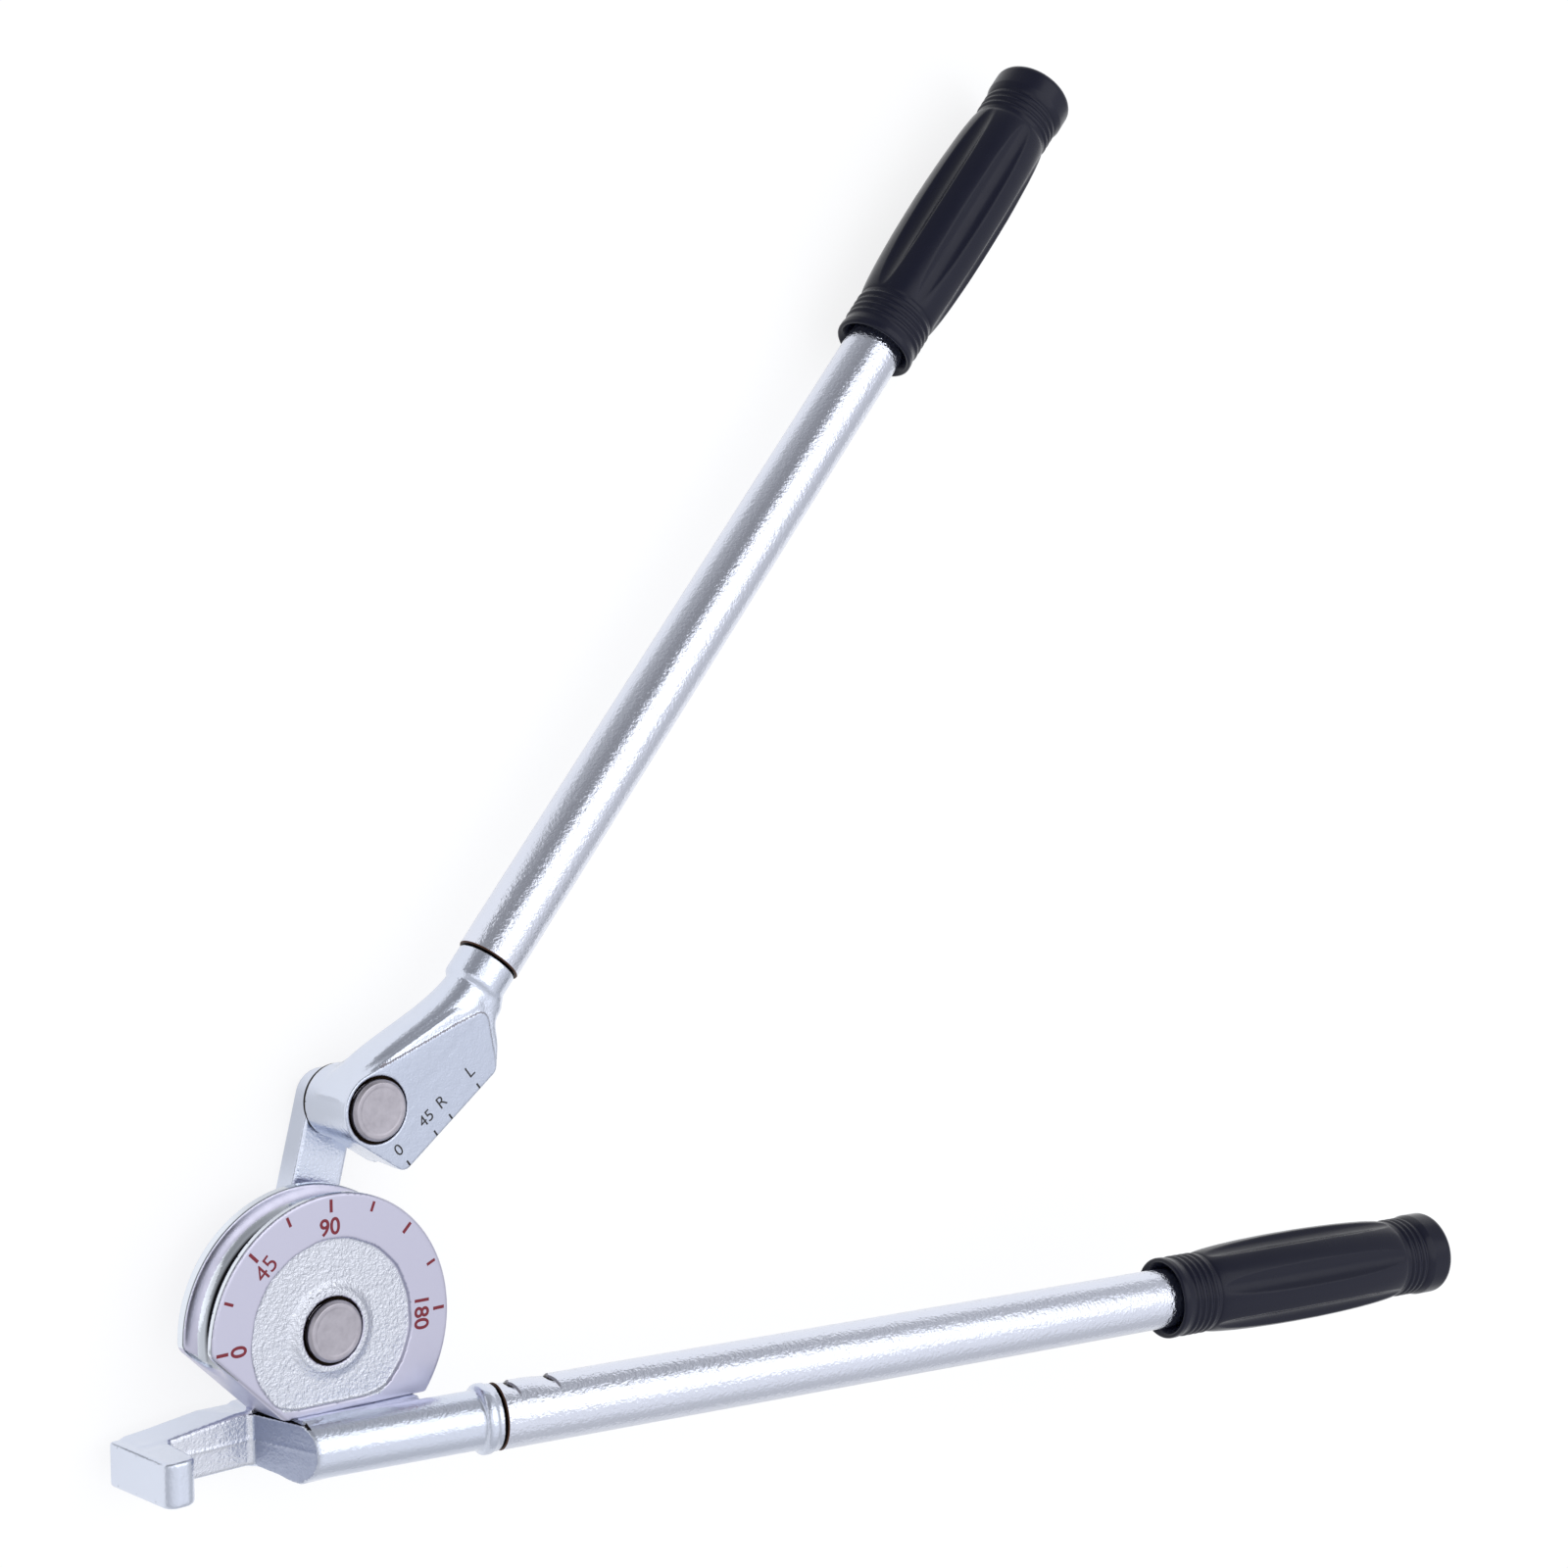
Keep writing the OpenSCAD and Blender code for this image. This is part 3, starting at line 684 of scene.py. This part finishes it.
# Painted shade: a dark grey line along the low step at the pad's upper edge
def pad_step_shade(c, n):
    edge = np.abs(hull_field(shoe_pad, c[:, 0], c[:, 1])) < 0.6
    low = (c[:, 2] > pad_floor_z - 0.1) & (n[:, 2] < 0.96)
    return edge & low & (c[:, 0] > 8) & (c[:, 1] > -15)


paint(lever, on_shoe, [
    (STEP_SHADE, pad_step_shade),
    (FACE, lambda c, n: (n[:, 2] > 0.97) & (between(c[:, 2], face_z - 0.2, face_z + 0.2) < 0)),
    # The spigot seen down the seam takes the nearly black steel, partly painted shade; the bore is oiled
    # steel
    (DARK_STEEL_AND_SHADE, lambda c, n: (c @ turn(shoe_angle) > lever_socket + 0.1) | in_bore(c, n)),
])


# Link bar: flat bar with full-round ends

def link_field(p):
    x, y, z = p[..., 0], p[..., 1], p[..., 2]
    plan = np.hypot(x - np.clip(x, 0, link_len), y) - link_w / 2
    bar = both(plan, between(z, link_back_z, link_z), 1.0)
    for at in (0, link_len):
        bar = cut(bar, np.hypot(x - at, y) - shank_r - 0.02, 0.3)
    return bar


points, quads = skin(link_field, (-9, -9, -22.5), (70.5, 9, -12.7), 0.5)
make_piece(
    "link_bar_forged", moved(points, on_link), quads, [casting_chrome], "link", ["link_bar"]
)


# Round pieces, turned from a profile of radius and height

def lathe(profile, columns, closed=False, span=360.0, first=0.0):
    """Points and faces of a profile swept round Z."""
    profile = np.asarray(profile, float)
    rows = len(profile)
    full = span >= 360
    count = columns if full else columns + 1
    angles = np.radians(first + span * np.arange(count) / columns)
    r, z = profile[:, :1], profile[:, 1:]
    points = np.stack([r * np.cos(angles), r * np.sin(angles), np.broadcast_to(z, (rows, count))], -1)
    faces = []
    for i in range(rows if closed else rows - 1):
        k = (i + 1) % rows
        for j in range(columns):
            side = (j + 1) % count
            faces.append((i * count + j, i * count + side, k * count + side, k * count + j))
    if not full:
        faces.append(tuple(i * count for i in range(rows)))
        faces.append(tuple(i * count + count - 1 for i in reversed(range(rows))))
    return points.reshape(-1, 3), faces


def rounded(profile, r, steps=4):
    """Profile with each inner corner replaced by an arc of about that radius."""
    out = [profile[0]]
    for a, b, c in zip(profile, profile[1:], profile[2:]):
        a, b, c = np.array(a, float), np.array(b, float), np.array(c, float)
        back, on = np.linalg.norm(a - b), np.linalg.norm(c - b)
        u, v = (a - b) / back, (c - b) / on
        k = min(r, back * 0.45, on * 0.45)
        for t in np.linspace(0, 1, steps + 1):
            out.append(tuple((b + u * k) * (1 - t) ** 2 + 2 * b * t * (1 - t) + (b + v * k) * t * t))
    out.append(profile[-1])
    return out


def turned_uv(piece, matrix):
    """Turning coordinates in millimetres: angle, and radius plus height."""
    mesh = piece.data
    layer = mesh.uv_layers.new(name="turned")
    c = local(read(mesh.vertices, "co"), matrix)
    index = np.zeros(len(mesh.loops), np.int64)
    mesh.loops.foreach_get("vertex_index", index)
    uv = np.stack([np.arctan2(c[:, 1], c[:, 0]), off_axis(c) + c[:, 2]], 1)[index]
    layer.data.foreach_set("uv", uv.ravel())


head_r = pin_r + 0.6
dish_r = 6.4
neck_in_r = 7.2
rivet_r = 6.5
pin_profile = rounded([
    (0.0, pin_end_z - 0.1), (dish_r, pin_end_z - 0.08), (dish_r + 0.4, pin_end_z), (pin_r - 0.2, pin_end_z),
    (head_r, pin_end_z - 0.9), (head_r, 8.1), (neck_in_r, 8.08), (neck_in_r, 6.82),
    (pin_r, 6.8), (pin_r, link_z), (shank_r, link_z), (shank_r, link_back_z),
    (rivet_r, link_back_z), (rivet_r, rivet_z + 0.6), (rivet_r - 0.9, rivet_z), (0.0, rivet_z),
], 0.22)
ring_profile = rounded([(7.25, 6.9), (8.3, 6.9), (8.3, 7.9), (7.25, 7.9), (7.25, 6.9)], 0.18)[:-1]
for name, at in (("centre", np.zeros(3)), ("lever", lever_pin_at)):
    seat = place((1, 0, 0), (0, 1, 0), at)
    points, faces = lathe(pin_profile, 96)
    outward = [f[::-1] for f in faces]
    pin = make_piece(
        name + "_pin_turned", moved(points, seat), outward, [pin_steel], "link", [name + "_pin"]
    )
    turned_uv(pin, seat)
    points, faces = lathe(ring_profile, 90, closed=True, span=320, first=150)
    ring = make_piece(
        name + "_ring_spring", moved(points, seat), faces, [pin_steel], "link", [name + "_ring"]
    )
    turned_uv(ring, seat)


# Handle tubes, each with two crimps pressed in near its casting

def crimp_depth(s, degrees, starts):
    """Depth of the crimps: each dips slowly along the tube to a curved wall that runs out at both ends."""
    depth = np.zeros(s.shape)
    off = np.clip(np.abs(degrees) / crimp_turn, 0, 1)
    for at in starts:
        wall = at + crimp_len - 1.5 * (1 - off) ** 2.4
        dip = crimp_sink * (1 - off ** 2) * ease(s, at - 3.5, at + crimp_len + 1)
        depth = np.maximum(depth, dip * np.clip((wall + 0.5 - s) / 0.5, 0, 1))
    return depth


def handle_tube(name, matrix, shoulder, seam, crimp_at, body, node):
    """Tube that starts a seam's width past a shoulder, crimped on the side at an angle."""
    start = shoulder + seam
    end = shoulder + seam_gap + tube_len
    # Close rows where the crimps are, wide ones beyond
    wall = np.concatenate([np.arange(start + 0.5, start + 20, 0.16), np.linspace(start + 21, end - 1, 50)])
    lip = [(tube_bore_r, start), (tube_r - 0.4, start), (tube_r - 0.1, start + 0.12), (tube_r, start + 0.4)]
    tail = [(tube_r - 0.3, end), (tube_bore_r, end), (tube_bore_r, start + 40)]
    profile = lip + [(tube_r, s) for s in wall] + tail
    rows = slice(len(lip), len(lip) + len(wall))
    columns = 200
    points, faces = lathe(profile, columns, closed=True)
    points = points.reshape(len(profile), columns, 3)
    around = np.degrees(np.arctan2(points[rows, :, 1], points[rows, :, 0]))
    off = (around - crimp_at + 180) % 360 - 180
    sunk = crimp_depth(points[rows, :, 2], off, (start, start + crimp_pitch))
    points[rows, :, :2] *= ((tube_r - sunk) / tube_r)[..., None]
    points = moved(points.reshape(-1, 3), matrix)
    skins = [tube_chrome, dark_steel_and_shade, step_shade, end_rust]
    inner, step, cut_face = 1, 2, 3
    piece = make_piece(name, points, faces, skins, body, [node])
    paint(piece, matrix, [
        # Painted shade on the crimp walls
        (step, lambda c, n: (n[:, 2] < -0.3) & (c[:, 2] > start + 0.6)),
        (cut_face, lambda c, n: c[:, 2] < start + 0.35),
        (inner, lambda c, n: off_axis(c) < tube_r - 0.6),
    ])


handle_tube("form_tube_drawn", on_bar, bar_socket, 0.75, 92, "form_handle", "form_tube")
handle_tube("lever_tube_drawn", on_lever_axis, lever_socket, 0.5, 0, "lever", "lever_tube")


# Grips: bell mouth, rings, swelling body with pointed flutes, closed end

def grip_radius(s):
    """Radius of the grip before its flutes, at a distance from its tube end."""
    t = np.clip((s - grip_body_from) / (grip_body_to - grip_body_from), 0, 1)
    body = grip_slim_r + grip_swell * np.sqrt(np.sin(np.pi * t))
    rings = np.zeros_like(s)
    ring_high, ring_half = 0.5, 0.95
    for at in grip_rings:
        rings = np.maximum(rings, ring_high * np.clip(1 - ((s - at) / ring_half) ** 2, 0, 1))
    lip_end = 4.2
    lip = 13.0 - 0.4 * np.clip((s - 2.2) / 1.8, 0, 1)
    r = np.where(s < lip_end, lip, body + rings)
    cap = grip_slim_r + 1.0 * np.clip((s - grip_cap_from) / 2.6, 0, 1) ** 0.6
    return np.where(s > grip_cap_from, cap, r)


def grip(name, matrix, shoulder, body, node):
    """Grip on the far end of a tube."""
    start = shoulder + seam_gap + tube_bare
    near, middle, far = (0.9, 17, 90), (17.4, grip_body_to, 110), (95.9, 112.7, 90)
    s = np.concatenate([np.linspace(*stretch) for stretch in (near, middle, far)])
    r = grip_radius(s)
    mouth = [(9.56, 98.5), (9.56, 3.2), (10.6, 1.7), (11.6, 0.5), (12.1, 0.0), (12.6, 0.1), (12.92, 0.45)]
    dome_r = 2.65
    dome = [
        (grip_cap_r - dome_r * (1 - math.cos(a)), grip_end - dome_r * (1 - math.sin(a)))
        for a in np.radians(np.arange(12, 91, 13))
    ]
    profile = mouth + list(zip(r, s)) + dome + [(7.0, grip_end), (0.01, grip_end)]
    columns = 180
    points, faces = lathe(profile, columns)
    points = points.reshape(len(profile), columns, 3)
    rows = slice(len(mouth), len(mouth) + len(s))
    radius = np.broadcast_to(r[:, None], (len(s), columns))
    around = np.degrees(np.arctan2(points[rows, :, 1], points[rows, :, 0]))
    off = np.radians((around - flute_turn + 30) % 60 - 30)
    # A flute is a round groove parallel to the handle; it runs out where the grip gets slim
    inside = np.maximum(flute_r ** 2 - (flute_centre * np.sin(off)) ** 2, 0)
    floor = np.where(inside > 0, flute_centre * np.cos(off) - np.sqrt(inside), 99)
    blend = 0.12
    mix = np.clip(0.5 + 0.5 * (floor - radius) / blend, 0, 1)
    fluted = floor * (1 - mix) + radius * mix - blend * mix * (1 - mix)
    on_body = (s > grip_body_from + 0.5)[:, None] & (s < grip_body_to)[:, None]
    fluted = np.where(on_body, np.minimum(fluted, radius), radius)
    points[rows, :, :2] *= (fluted / radius)[..., None]
    points = moved(points.reshape(-1, 3) + np.array([0, 0, start]), matrix)
    make_piece(name, points, faces, [grip_pvc], body, [node])


grip("form_grip_moulded", on_bar, bar_socket, "form_handle", "form_grip")
grip("lever_grip_moulded", on_lever_axis, lever_socket, "lever", "lever_grip")


# Dial ticks, set round the wheel by geometry nodes

def tick_tree():
    """Tree that sets bars of one size round the wheel's axis, a step apart."""
    tree = bpy.data.node_groups.new("dial_ticks", "GeometryNodeTree")
    face = tree.interface
    face.new_socket("Geometry", in_out="INPUT", socket_type="NodeSocketGeometry")
    face.new_socket("Count", in_out="INPUT", socket_type="NodeSocketInt")
    for label in ("First", "Step", "Outer", "Length", "Width", "Height", "Level"):
        face.new_socket(label, in_out="INPUT", socket_type="NodeSocketFloat")
    face.new_socket("Fill", in_out="INPUT", socket_type="NodeSocketMaterial")
    face.new_socket("Geometry", in_out="OUTPUT", socket_type="NodeSocketGeometry")
    given = add(tree, "NodeGroupInput").outputs
    line = add(tree, "GeometryNodeMeshLine", (), {"Count": given["Count"]})
    index = add(tree, "GeometryNodeInputIndex")
    swing = add(tree, "ShaderNodeMath", {"operation": "MULTIPLY"}, {0: index.outputs[0], 1: given["Step"]})
    angle = add(tree, "ShaderNodeMath", {"operation": "SUBTRACT"}, {0: given["First"], 1: swing.outputs[0]})
    half = add(tree, "ShaderNodeMath", {"operation": "MULTIPLY", 1: 0.5}, {0: given["Length"]})
    middle = add(tree, "ShaderNodeMath", {"operation": "SUBTRACT"}, {0: given["Outer"], 1: half.outputs[0]})
    place_at = {2: given["Level"]}
    for axis, operation in enumerate(("COSINE", "SINE")):
        part = add(tree, "ShaderNodeMath", {"operation": operation}, {0: angle.outputs[0]})
        ends = {0: part.outputs[0], 1: middle.outputs[0]}
        place_at[axis] = add(tree, "ShaderNodeMath", {"operation": "MULTIPLY"}, ends).outputs[0]
    spot = add(tree, "ShaderNodeCombineXYZ", (), place_at).outputs[0]
    set_out = add(tree, "GeometryNodeSetPosition", (), {"Geometry": line.outputs[0], "Position": spot})
    sides = {0: given["Length"], 1: given["Width"], 2: given["Height"]}
    size = add(tree, "ShaderNodeCombineXYZ", (), sides)
    bar = add(tree, "GeometryNodeMeshCube", (), {"Size": size.outputs[0]}).outputs[0]
    euler = add(tree, "ShaderNodeCombineXYZ", (), {2: angle.outputs[0]})
    facing = add(tree, "FunctionNodeEulerToRotation", (), {0: euler.outputs[0]}).outputs[0]
    spread = {"Points": set_out.outputs[0], "Instance": bar, "Rotation": facing}
    ticks = add(tree, "GeometryNodeInstanceOnPoints", (), spread)
    real = add(tree, "GeometryNodeRealizeInstances", (), {0: ticks.outputs[0]})
    dressed = {"Geometry": real.outputs[0], "Material": given["Fill"]}
    filled = add(tree, "GeometryNodeSetMaterial", (), dressed)
    add(tree, "NodeGroupOutput", (), {0: filled.outputs[0]})
    return tree


def plain_mesh(name, source, materials, body):
    """Turns an evaluated object into a plain mesh piece at the origin."""
    bpy.context.view_layer.update()
    ready = source.evaluated_get(bpy.context.evaluated_depsgraph_get())
    mesh = bpy.data.meshes.new_from_object(ready)
    mesh.name = name
    bpy.data.objects.remove(source)
    if materials:
        mesh.materials.clear()
        for mat in materials:
            mesh.materials.append(mat)
    piece = new_object(name, mesh)
    dress(piece, body, [])
    return piece


ticks = tick_tree()
tick_outer = 36.5
tick_step = 45
fill_h = 0.06
fill_z = face_z + 0.01
for name, count, first, length, width in (
    ("dial_ticks_long", 5, 180.0, 3.6, 0.95),
    ("dial_ticks_short", 4, 157.5, 2.9, 0.85),
):
    carrier = new_object(name + "_tree", bpy.data.meshes.new(name + "_tree"))
    modifier = carrier.modifiers.new("ticks", "NODES")
    modifier.node_group = ticks
    sizes = {
        "Count": count, "First": math.radians(first), "Step": math.radians(tick_step),
        "Outer": tick_outer * MM, "Length": length * MM, "Width": width * MM,
        "Height": fill_h * MM, "Level": fill_z * MM, "Fill": red_fill,
    }
    for socket in ticks.interface.items_tree:
        if socket.in_out == "INPUT" and socket.name in sizes:
            modifier[socket.identifier] = sizes[socket.name]
    plain_mesh(name, carrier, None, "form_handle")


# Numbers on the dial and marks on the shoe

def mark(name, text, height, matrix, at, degrees, mat, body, weight):
    """One flat mark, its middle at a point of a local frame and its top turned to an angle there."""
    curve = bpy.data.curves.new(name, "FONT")
    curve.body = text
    curve.offset = weight
    curve.extrude = 0.02
    piece = plain_mesh(name, new_object(name + "_text", curve), [mat], body)
    mesh = piece.data
    co = read(mesh.vertices, "co")
    low, high = co.min(0), co.max(0)
    co = (co - (low + high) / 2) * height / (high[1] - low[1])
    co[:, 2] = np.sign(co[:, 2]) * fill_h / 2
    upright = place(turn(degrees - 90), turn(degrees), (at[0], at[1], fill_z))
    mesh.vertices.foreach_set("co", (moved(moved(co, upright), matrix) * MM).ravel())
    mesh.update()


number_high, mark_high = 4.9, 3.5
for text, angle, out, weight in (
    ("0", 180, 29.7, 0.018), ("45", 135, 29.6, 0.0), ("90", 91, 29.0, 0.018), ("180", -1.6, 29.0, 0.018)
):
    name, spot = "dial_number_" + text, out * turn(angle)[:2]
    mark(name, text, number_high, on_wheel, spot, angle, red_fill, "form_handle", weight)

for text, along, up in (("0", -2.2, -13.5), ("45", 9.7, -13.2), ("R", 16.5, -13.2), ("L", 28.8, -13.4)):
    name, spot = "shoe_mark_" + text, (along, up)
    mark(name, text, mark_high, on_shoe, spot, 90, black_fill, "lever", 0.0)

points, faces = [], []
tick_half_w = 0.28
box_sides = ((0, 2, 3, 1), (4, 5, 7, 6), (0, 1, 5, 4), (1, 3, 7, 5), (3, 2, 6, 7), (2, 0, 4, 6))
for along in (-2.2, 9.5, 16.0, 28.2):
    k = len(points)
    for z in (face_z - 0.06, face_z + 0.04):
        for y in (lip_y + 0.3, lip_y + 2.1):
            points += [(along - tick_half_w, y, z), (along + tick_half_w, y, z)]
    faces += [tuple(k + i for i in side) for side in box_sides]
make_piece("shoe_ticks", moved(points, on_shoe), faces, [black_fill], "lever", [])

# Pieces whose solids already have the right shape keep them
for node, mat in (
    # The bushes' near-black bronze is partly painted shade in their gaps
    ("wheel_bush", bronze_with_gap_shade), ("lever_bush", bronze_with_gap_shade), ("wheel_dowels", pin_steel),
    ("centre_washer", dark_steel_and_shade), ("lever_washer", dark_steel_and_shade),
):
    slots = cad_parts[node].data.materials
    slots.clear()
    slots.append(mat)

# Camera, solved from the photo: the tool seen from its dial side, over the hook
cam = bpy.data.cameras.new("camera")
cam.lens = 64.433
cam.sensor_width = 36
cam.clip_end = 100
camera = new_object("camera", cam)
right = (0.7436, -0.00587, 0.66904)
up = (0.06141, 0.99667, -0.05936)
back = (-0.66603, 0.08509, 0.74149)
eye = Matrix((right, up, back)).transposed().to_4x4()
eye.translation = Vector((-410.12, 213.46, 650.42)) * MM
camera.matrix_world = eye
bpy.context.scene.camera = camera


# Pale floor: white to the camera, with the tool's soft shadow on it
# Reflections alone see painted grey parts on it, beside the handles, the hook and the link, which draw the
# dark streaks
floor_z = cad_low[2] - 0.5 * MM
half = 30
mesh = bpy.data.meshes.new("studio_floor")
floor_corners = [(x, y, floor_z) for x, y in ((-half, -half), (half, -half), (half, half), (-half, half))]
mesh.from_pydata(floor_corners, [], [(0, 1, 2, 3)])
floor = new_object("studio_floor", mesh)
mat = bpy.data.materials.new("white_paper_floor")
mat.use_nodes = True
floor_tree = mat.node_tree
floor_tree.nodes.clear()
rays = add(floor_tree, "ShaderNodeLightPath").outputs
floor_spot = add(floor_tree, "ShaderNodeNewGeometry").outputs["Position"]


def floor_part(degrees, low, high):
    """How far the floor lies past a line across that direction, from 0 at one distance to 1 at another."""
    ahead = {"operation": "DOT_PRODUCT", 1: turn(degrees)}
    out = add(floor_tree, "ShaderNodeVectorMath", ahead, {0: floor_spot}).outputs["Value"]
    span = {1: low * MM, 2: high * MM, "interpolation_type": "SMOOTHSTEP"}
    return add(floor_tree, "ShaderNodeMapRange", span, {0: out}).outputs[0]


def floor_patch(degrees, along, left, soft):
    """1 inside a rectangle of the floor, given along a direction and to the left of it, with soft edges."""
    patch = floor_part(degrees, along[0] - soft / 2, along[0] + soft / 2)
    for way, edge in ((180, -along[1]), (90, left[0]), (270, -left[1])):
        side = floor_part(degrees + way, edge - soft / 2, edge + soft / 2)
        patch = add(floor_tree, "ShaderNodeMath", {"operation": "MULTIPLY"}, {0: patch, 1: side}).outputs[0]
    return patch


# Painted reflections: grey patches that only glossy rays see
lever_line = lever_pin_at @ turn(lever_angle + 90) - lever_offset
left_part = floor_part(lever_angle + 90, lever_line + 15, lever_line + 80)
far_part = floor_part(lever_angle, 140, 200)
parts = {0: left_part, 1: far_part}
by_lever = add(floor_tree, "ShaderNodeMath", {"operation": "MULTIPLY"}, parts).outputs[0]
reflection_grey = add(floor_tree, "ShaderNodeMapRange", {3: 0.8, 4: 0.25}, {0: by_lever}).outputs[0]
by_hook = floor_patch(180, (56, 87), (8, 21), 5)
by_link = floor_patch(link_angle, (38, 64), (4, 36), 14)
under_bar = floor_part(270, 60, 120)
for patch, level in ((by_hook, 0.3), (by_link, 0.72), (under_bar, 0.75)):
    fade = add(floor_tree, "ShaderNodeMapRange", {3: 1.0, 4: level}, {0: patch}).outputs[0]
    reflection_grey = add(floor_tree, "ShaderNodeMath", {"operation": "MULTIPLY"}, {0: reflection_grey, 1: fade}).outputs[0]
glossy = {0: rays["Is Glossy Ray"], 1: reflection_grey}
glowing = add(floor_tree, "ShaderNodeMath", {"operation": "MULTIPLY"}, glossy).outputs[0]
for ray in ("Is Camera Ray", "Is Transmission Ray"):
    seen = add(floor_tree, "ShaderNodeMath", {"operation": "MULTIPLY", 1: 0.8}, {0: rays[ray]}).outputs[0]
    glowing = add(floor_tree, "ShaderNodeMath", {"operation": "MAXIMUM"}, {0: glowing, 1: seen}).outputs[0]
paper = add(floor_tree, "ShaderNodeBsdfDiffuse", {"Color": linear("88898B")})
glow = add(floor_tree, "ShaderNodeEmission", (), {"Strength": glowing})
total = add(floor_tree, "ShaderNodeAddShader", (), {0: paper.outputs[0], 1: glow.outputs[0]})
add(floor_tree, "ShaderNodeOutputMaterial", (), {0: total.outputs[0]})
mesh.materials.append(mat)


def softbox(name, azimuth, elevation, distance, size, radiance):
    """Round lamp that faces the tool from that direction, as bright as its radiance."""
    a, e = math.radians(azimuth), math.radians(elevation)
    way = Vector((math.cos(a) * math.cos(e), math.sin(a) * math.cos(e), math.sin(e)))
    lamp = bpy.data.lights.new(name, "AREA")
    lamp.shape = "DISK"
    lamp.size = size
    lamp.energy = radiance * math.pi * math.pi * size * size / 4
    holder = new_object(name, lamp)
    tool_middle = Vector((0.15, 0.1, 0))
    holder.location = tool_middle + way * distance
    holder.rotation_mode = "QUATERNION"
    holder.rotation_quaternion = way.to_track_quat("Z", "Y")


softbox("softbox_over", 62, 67, 1.6, 1.7, 0.7)
softbox("fill_behind_camera", 165, 42, 1.8, 1.4, 0.4)

# Studio walls: plain light all round, a dark band on the +Y side and a brighter one on the right
world = bpy.data.worlds.new("studio")
bpy.context.scene.world = world
world.use_nodes = True
wall_tree = world.node_tree
wall_tree.nodes.clear()
wall_way = add(wall_tree, "ShaderNodeTexCoord").outputs["Generated"]
wall_height = add(wall_tree, "ShaderNodeSeparateXYZ", (), {0: wall_way}).outputs[2]


def by_height(stops, tint=(1, 1, 1)):
    """Grey level by the sine of the height above the horizon."""
    ramp = add(wall_tree, "ShaderNodeValToRGB", (), {0: wall_height})
    for i, (at, level) in enumerate(stops):
        stop = ramp.color_ramp.elements[i] if i < 2 else ramp.color_ramp.elements.new(at)
        stop.position = at
        stop.color = (tint[0] * level, tint[1] * level, tint[2] * level, 1)
    return ramp.outputs[0]


def shade(light, stops, azimuth, low, high):
    """Multiplies the light by a level by height, on the side that faces an azimuth."""
    ahead = {"operation": "DOT_PRODUCT", 1: turn(azimuth)}
    side = add(wall_tree, "ShaderNodeVectorMath", ahead, {0: wall_way}).outputs["Value"]
    span = {1: low, 2: high, "interpolation_type": "SMOOTHSTEP"}
    part = add(wall_tree, "ShaderNodeMapRange", span, {0: side}).outputs[0]
    kind = {"data_type": "RGBA", "blend_type": "MULTIPLY"}
    return add(wall_tree, "ShaderNodeMix", kind, {0: part, 6: light, 7: by_height(stops)}).outputs[2]


cool_white = (0.98, 0.99, 1.03)
walls = by_height([(0.0, 0.62), (1.0, 0.95), (0.4, 0.64), (0.62, 0.72), (0.8, 0.84)], cool_white)
dark_band = [(0.0, 0.68), (1.0, 1.0), (0.3, 0.56), (0.55, 0.44), (0.68, 0.40), (0.71, 1.0)]
walls = shade(walls, dark_band, 118, 0.4, 0.88)
bright_band = [(0.0, 1.0), (1.0, 1.0), (0.55, 1.0), (0.7, 1.14), (0.9, 1.14)]
walls = shade(walls, bright_band, -30, 0.2, 0.48)
# The camera itself sees plain white behind the tool
camera_ray = add(wall_tree, "ShaderNodeLightPath").outputs["Is Camera Ray"]
white = {"data_type": "RGBA", 7: (1, 1, 1, 1)}
backdrop = add(wall_tree, "ShaderNodeMix", white, {0: camera_ray, 6: walls})
light = add(wall_tree, "ShaderNodeBackground", (), {"Color": backdrop.outputs[2]})
add(wall_tree, "ShaderNodeOutputWorld", (), {0: light.outputs[0]})

bpy.context.scene.view_settings.view_transform = "Standard"
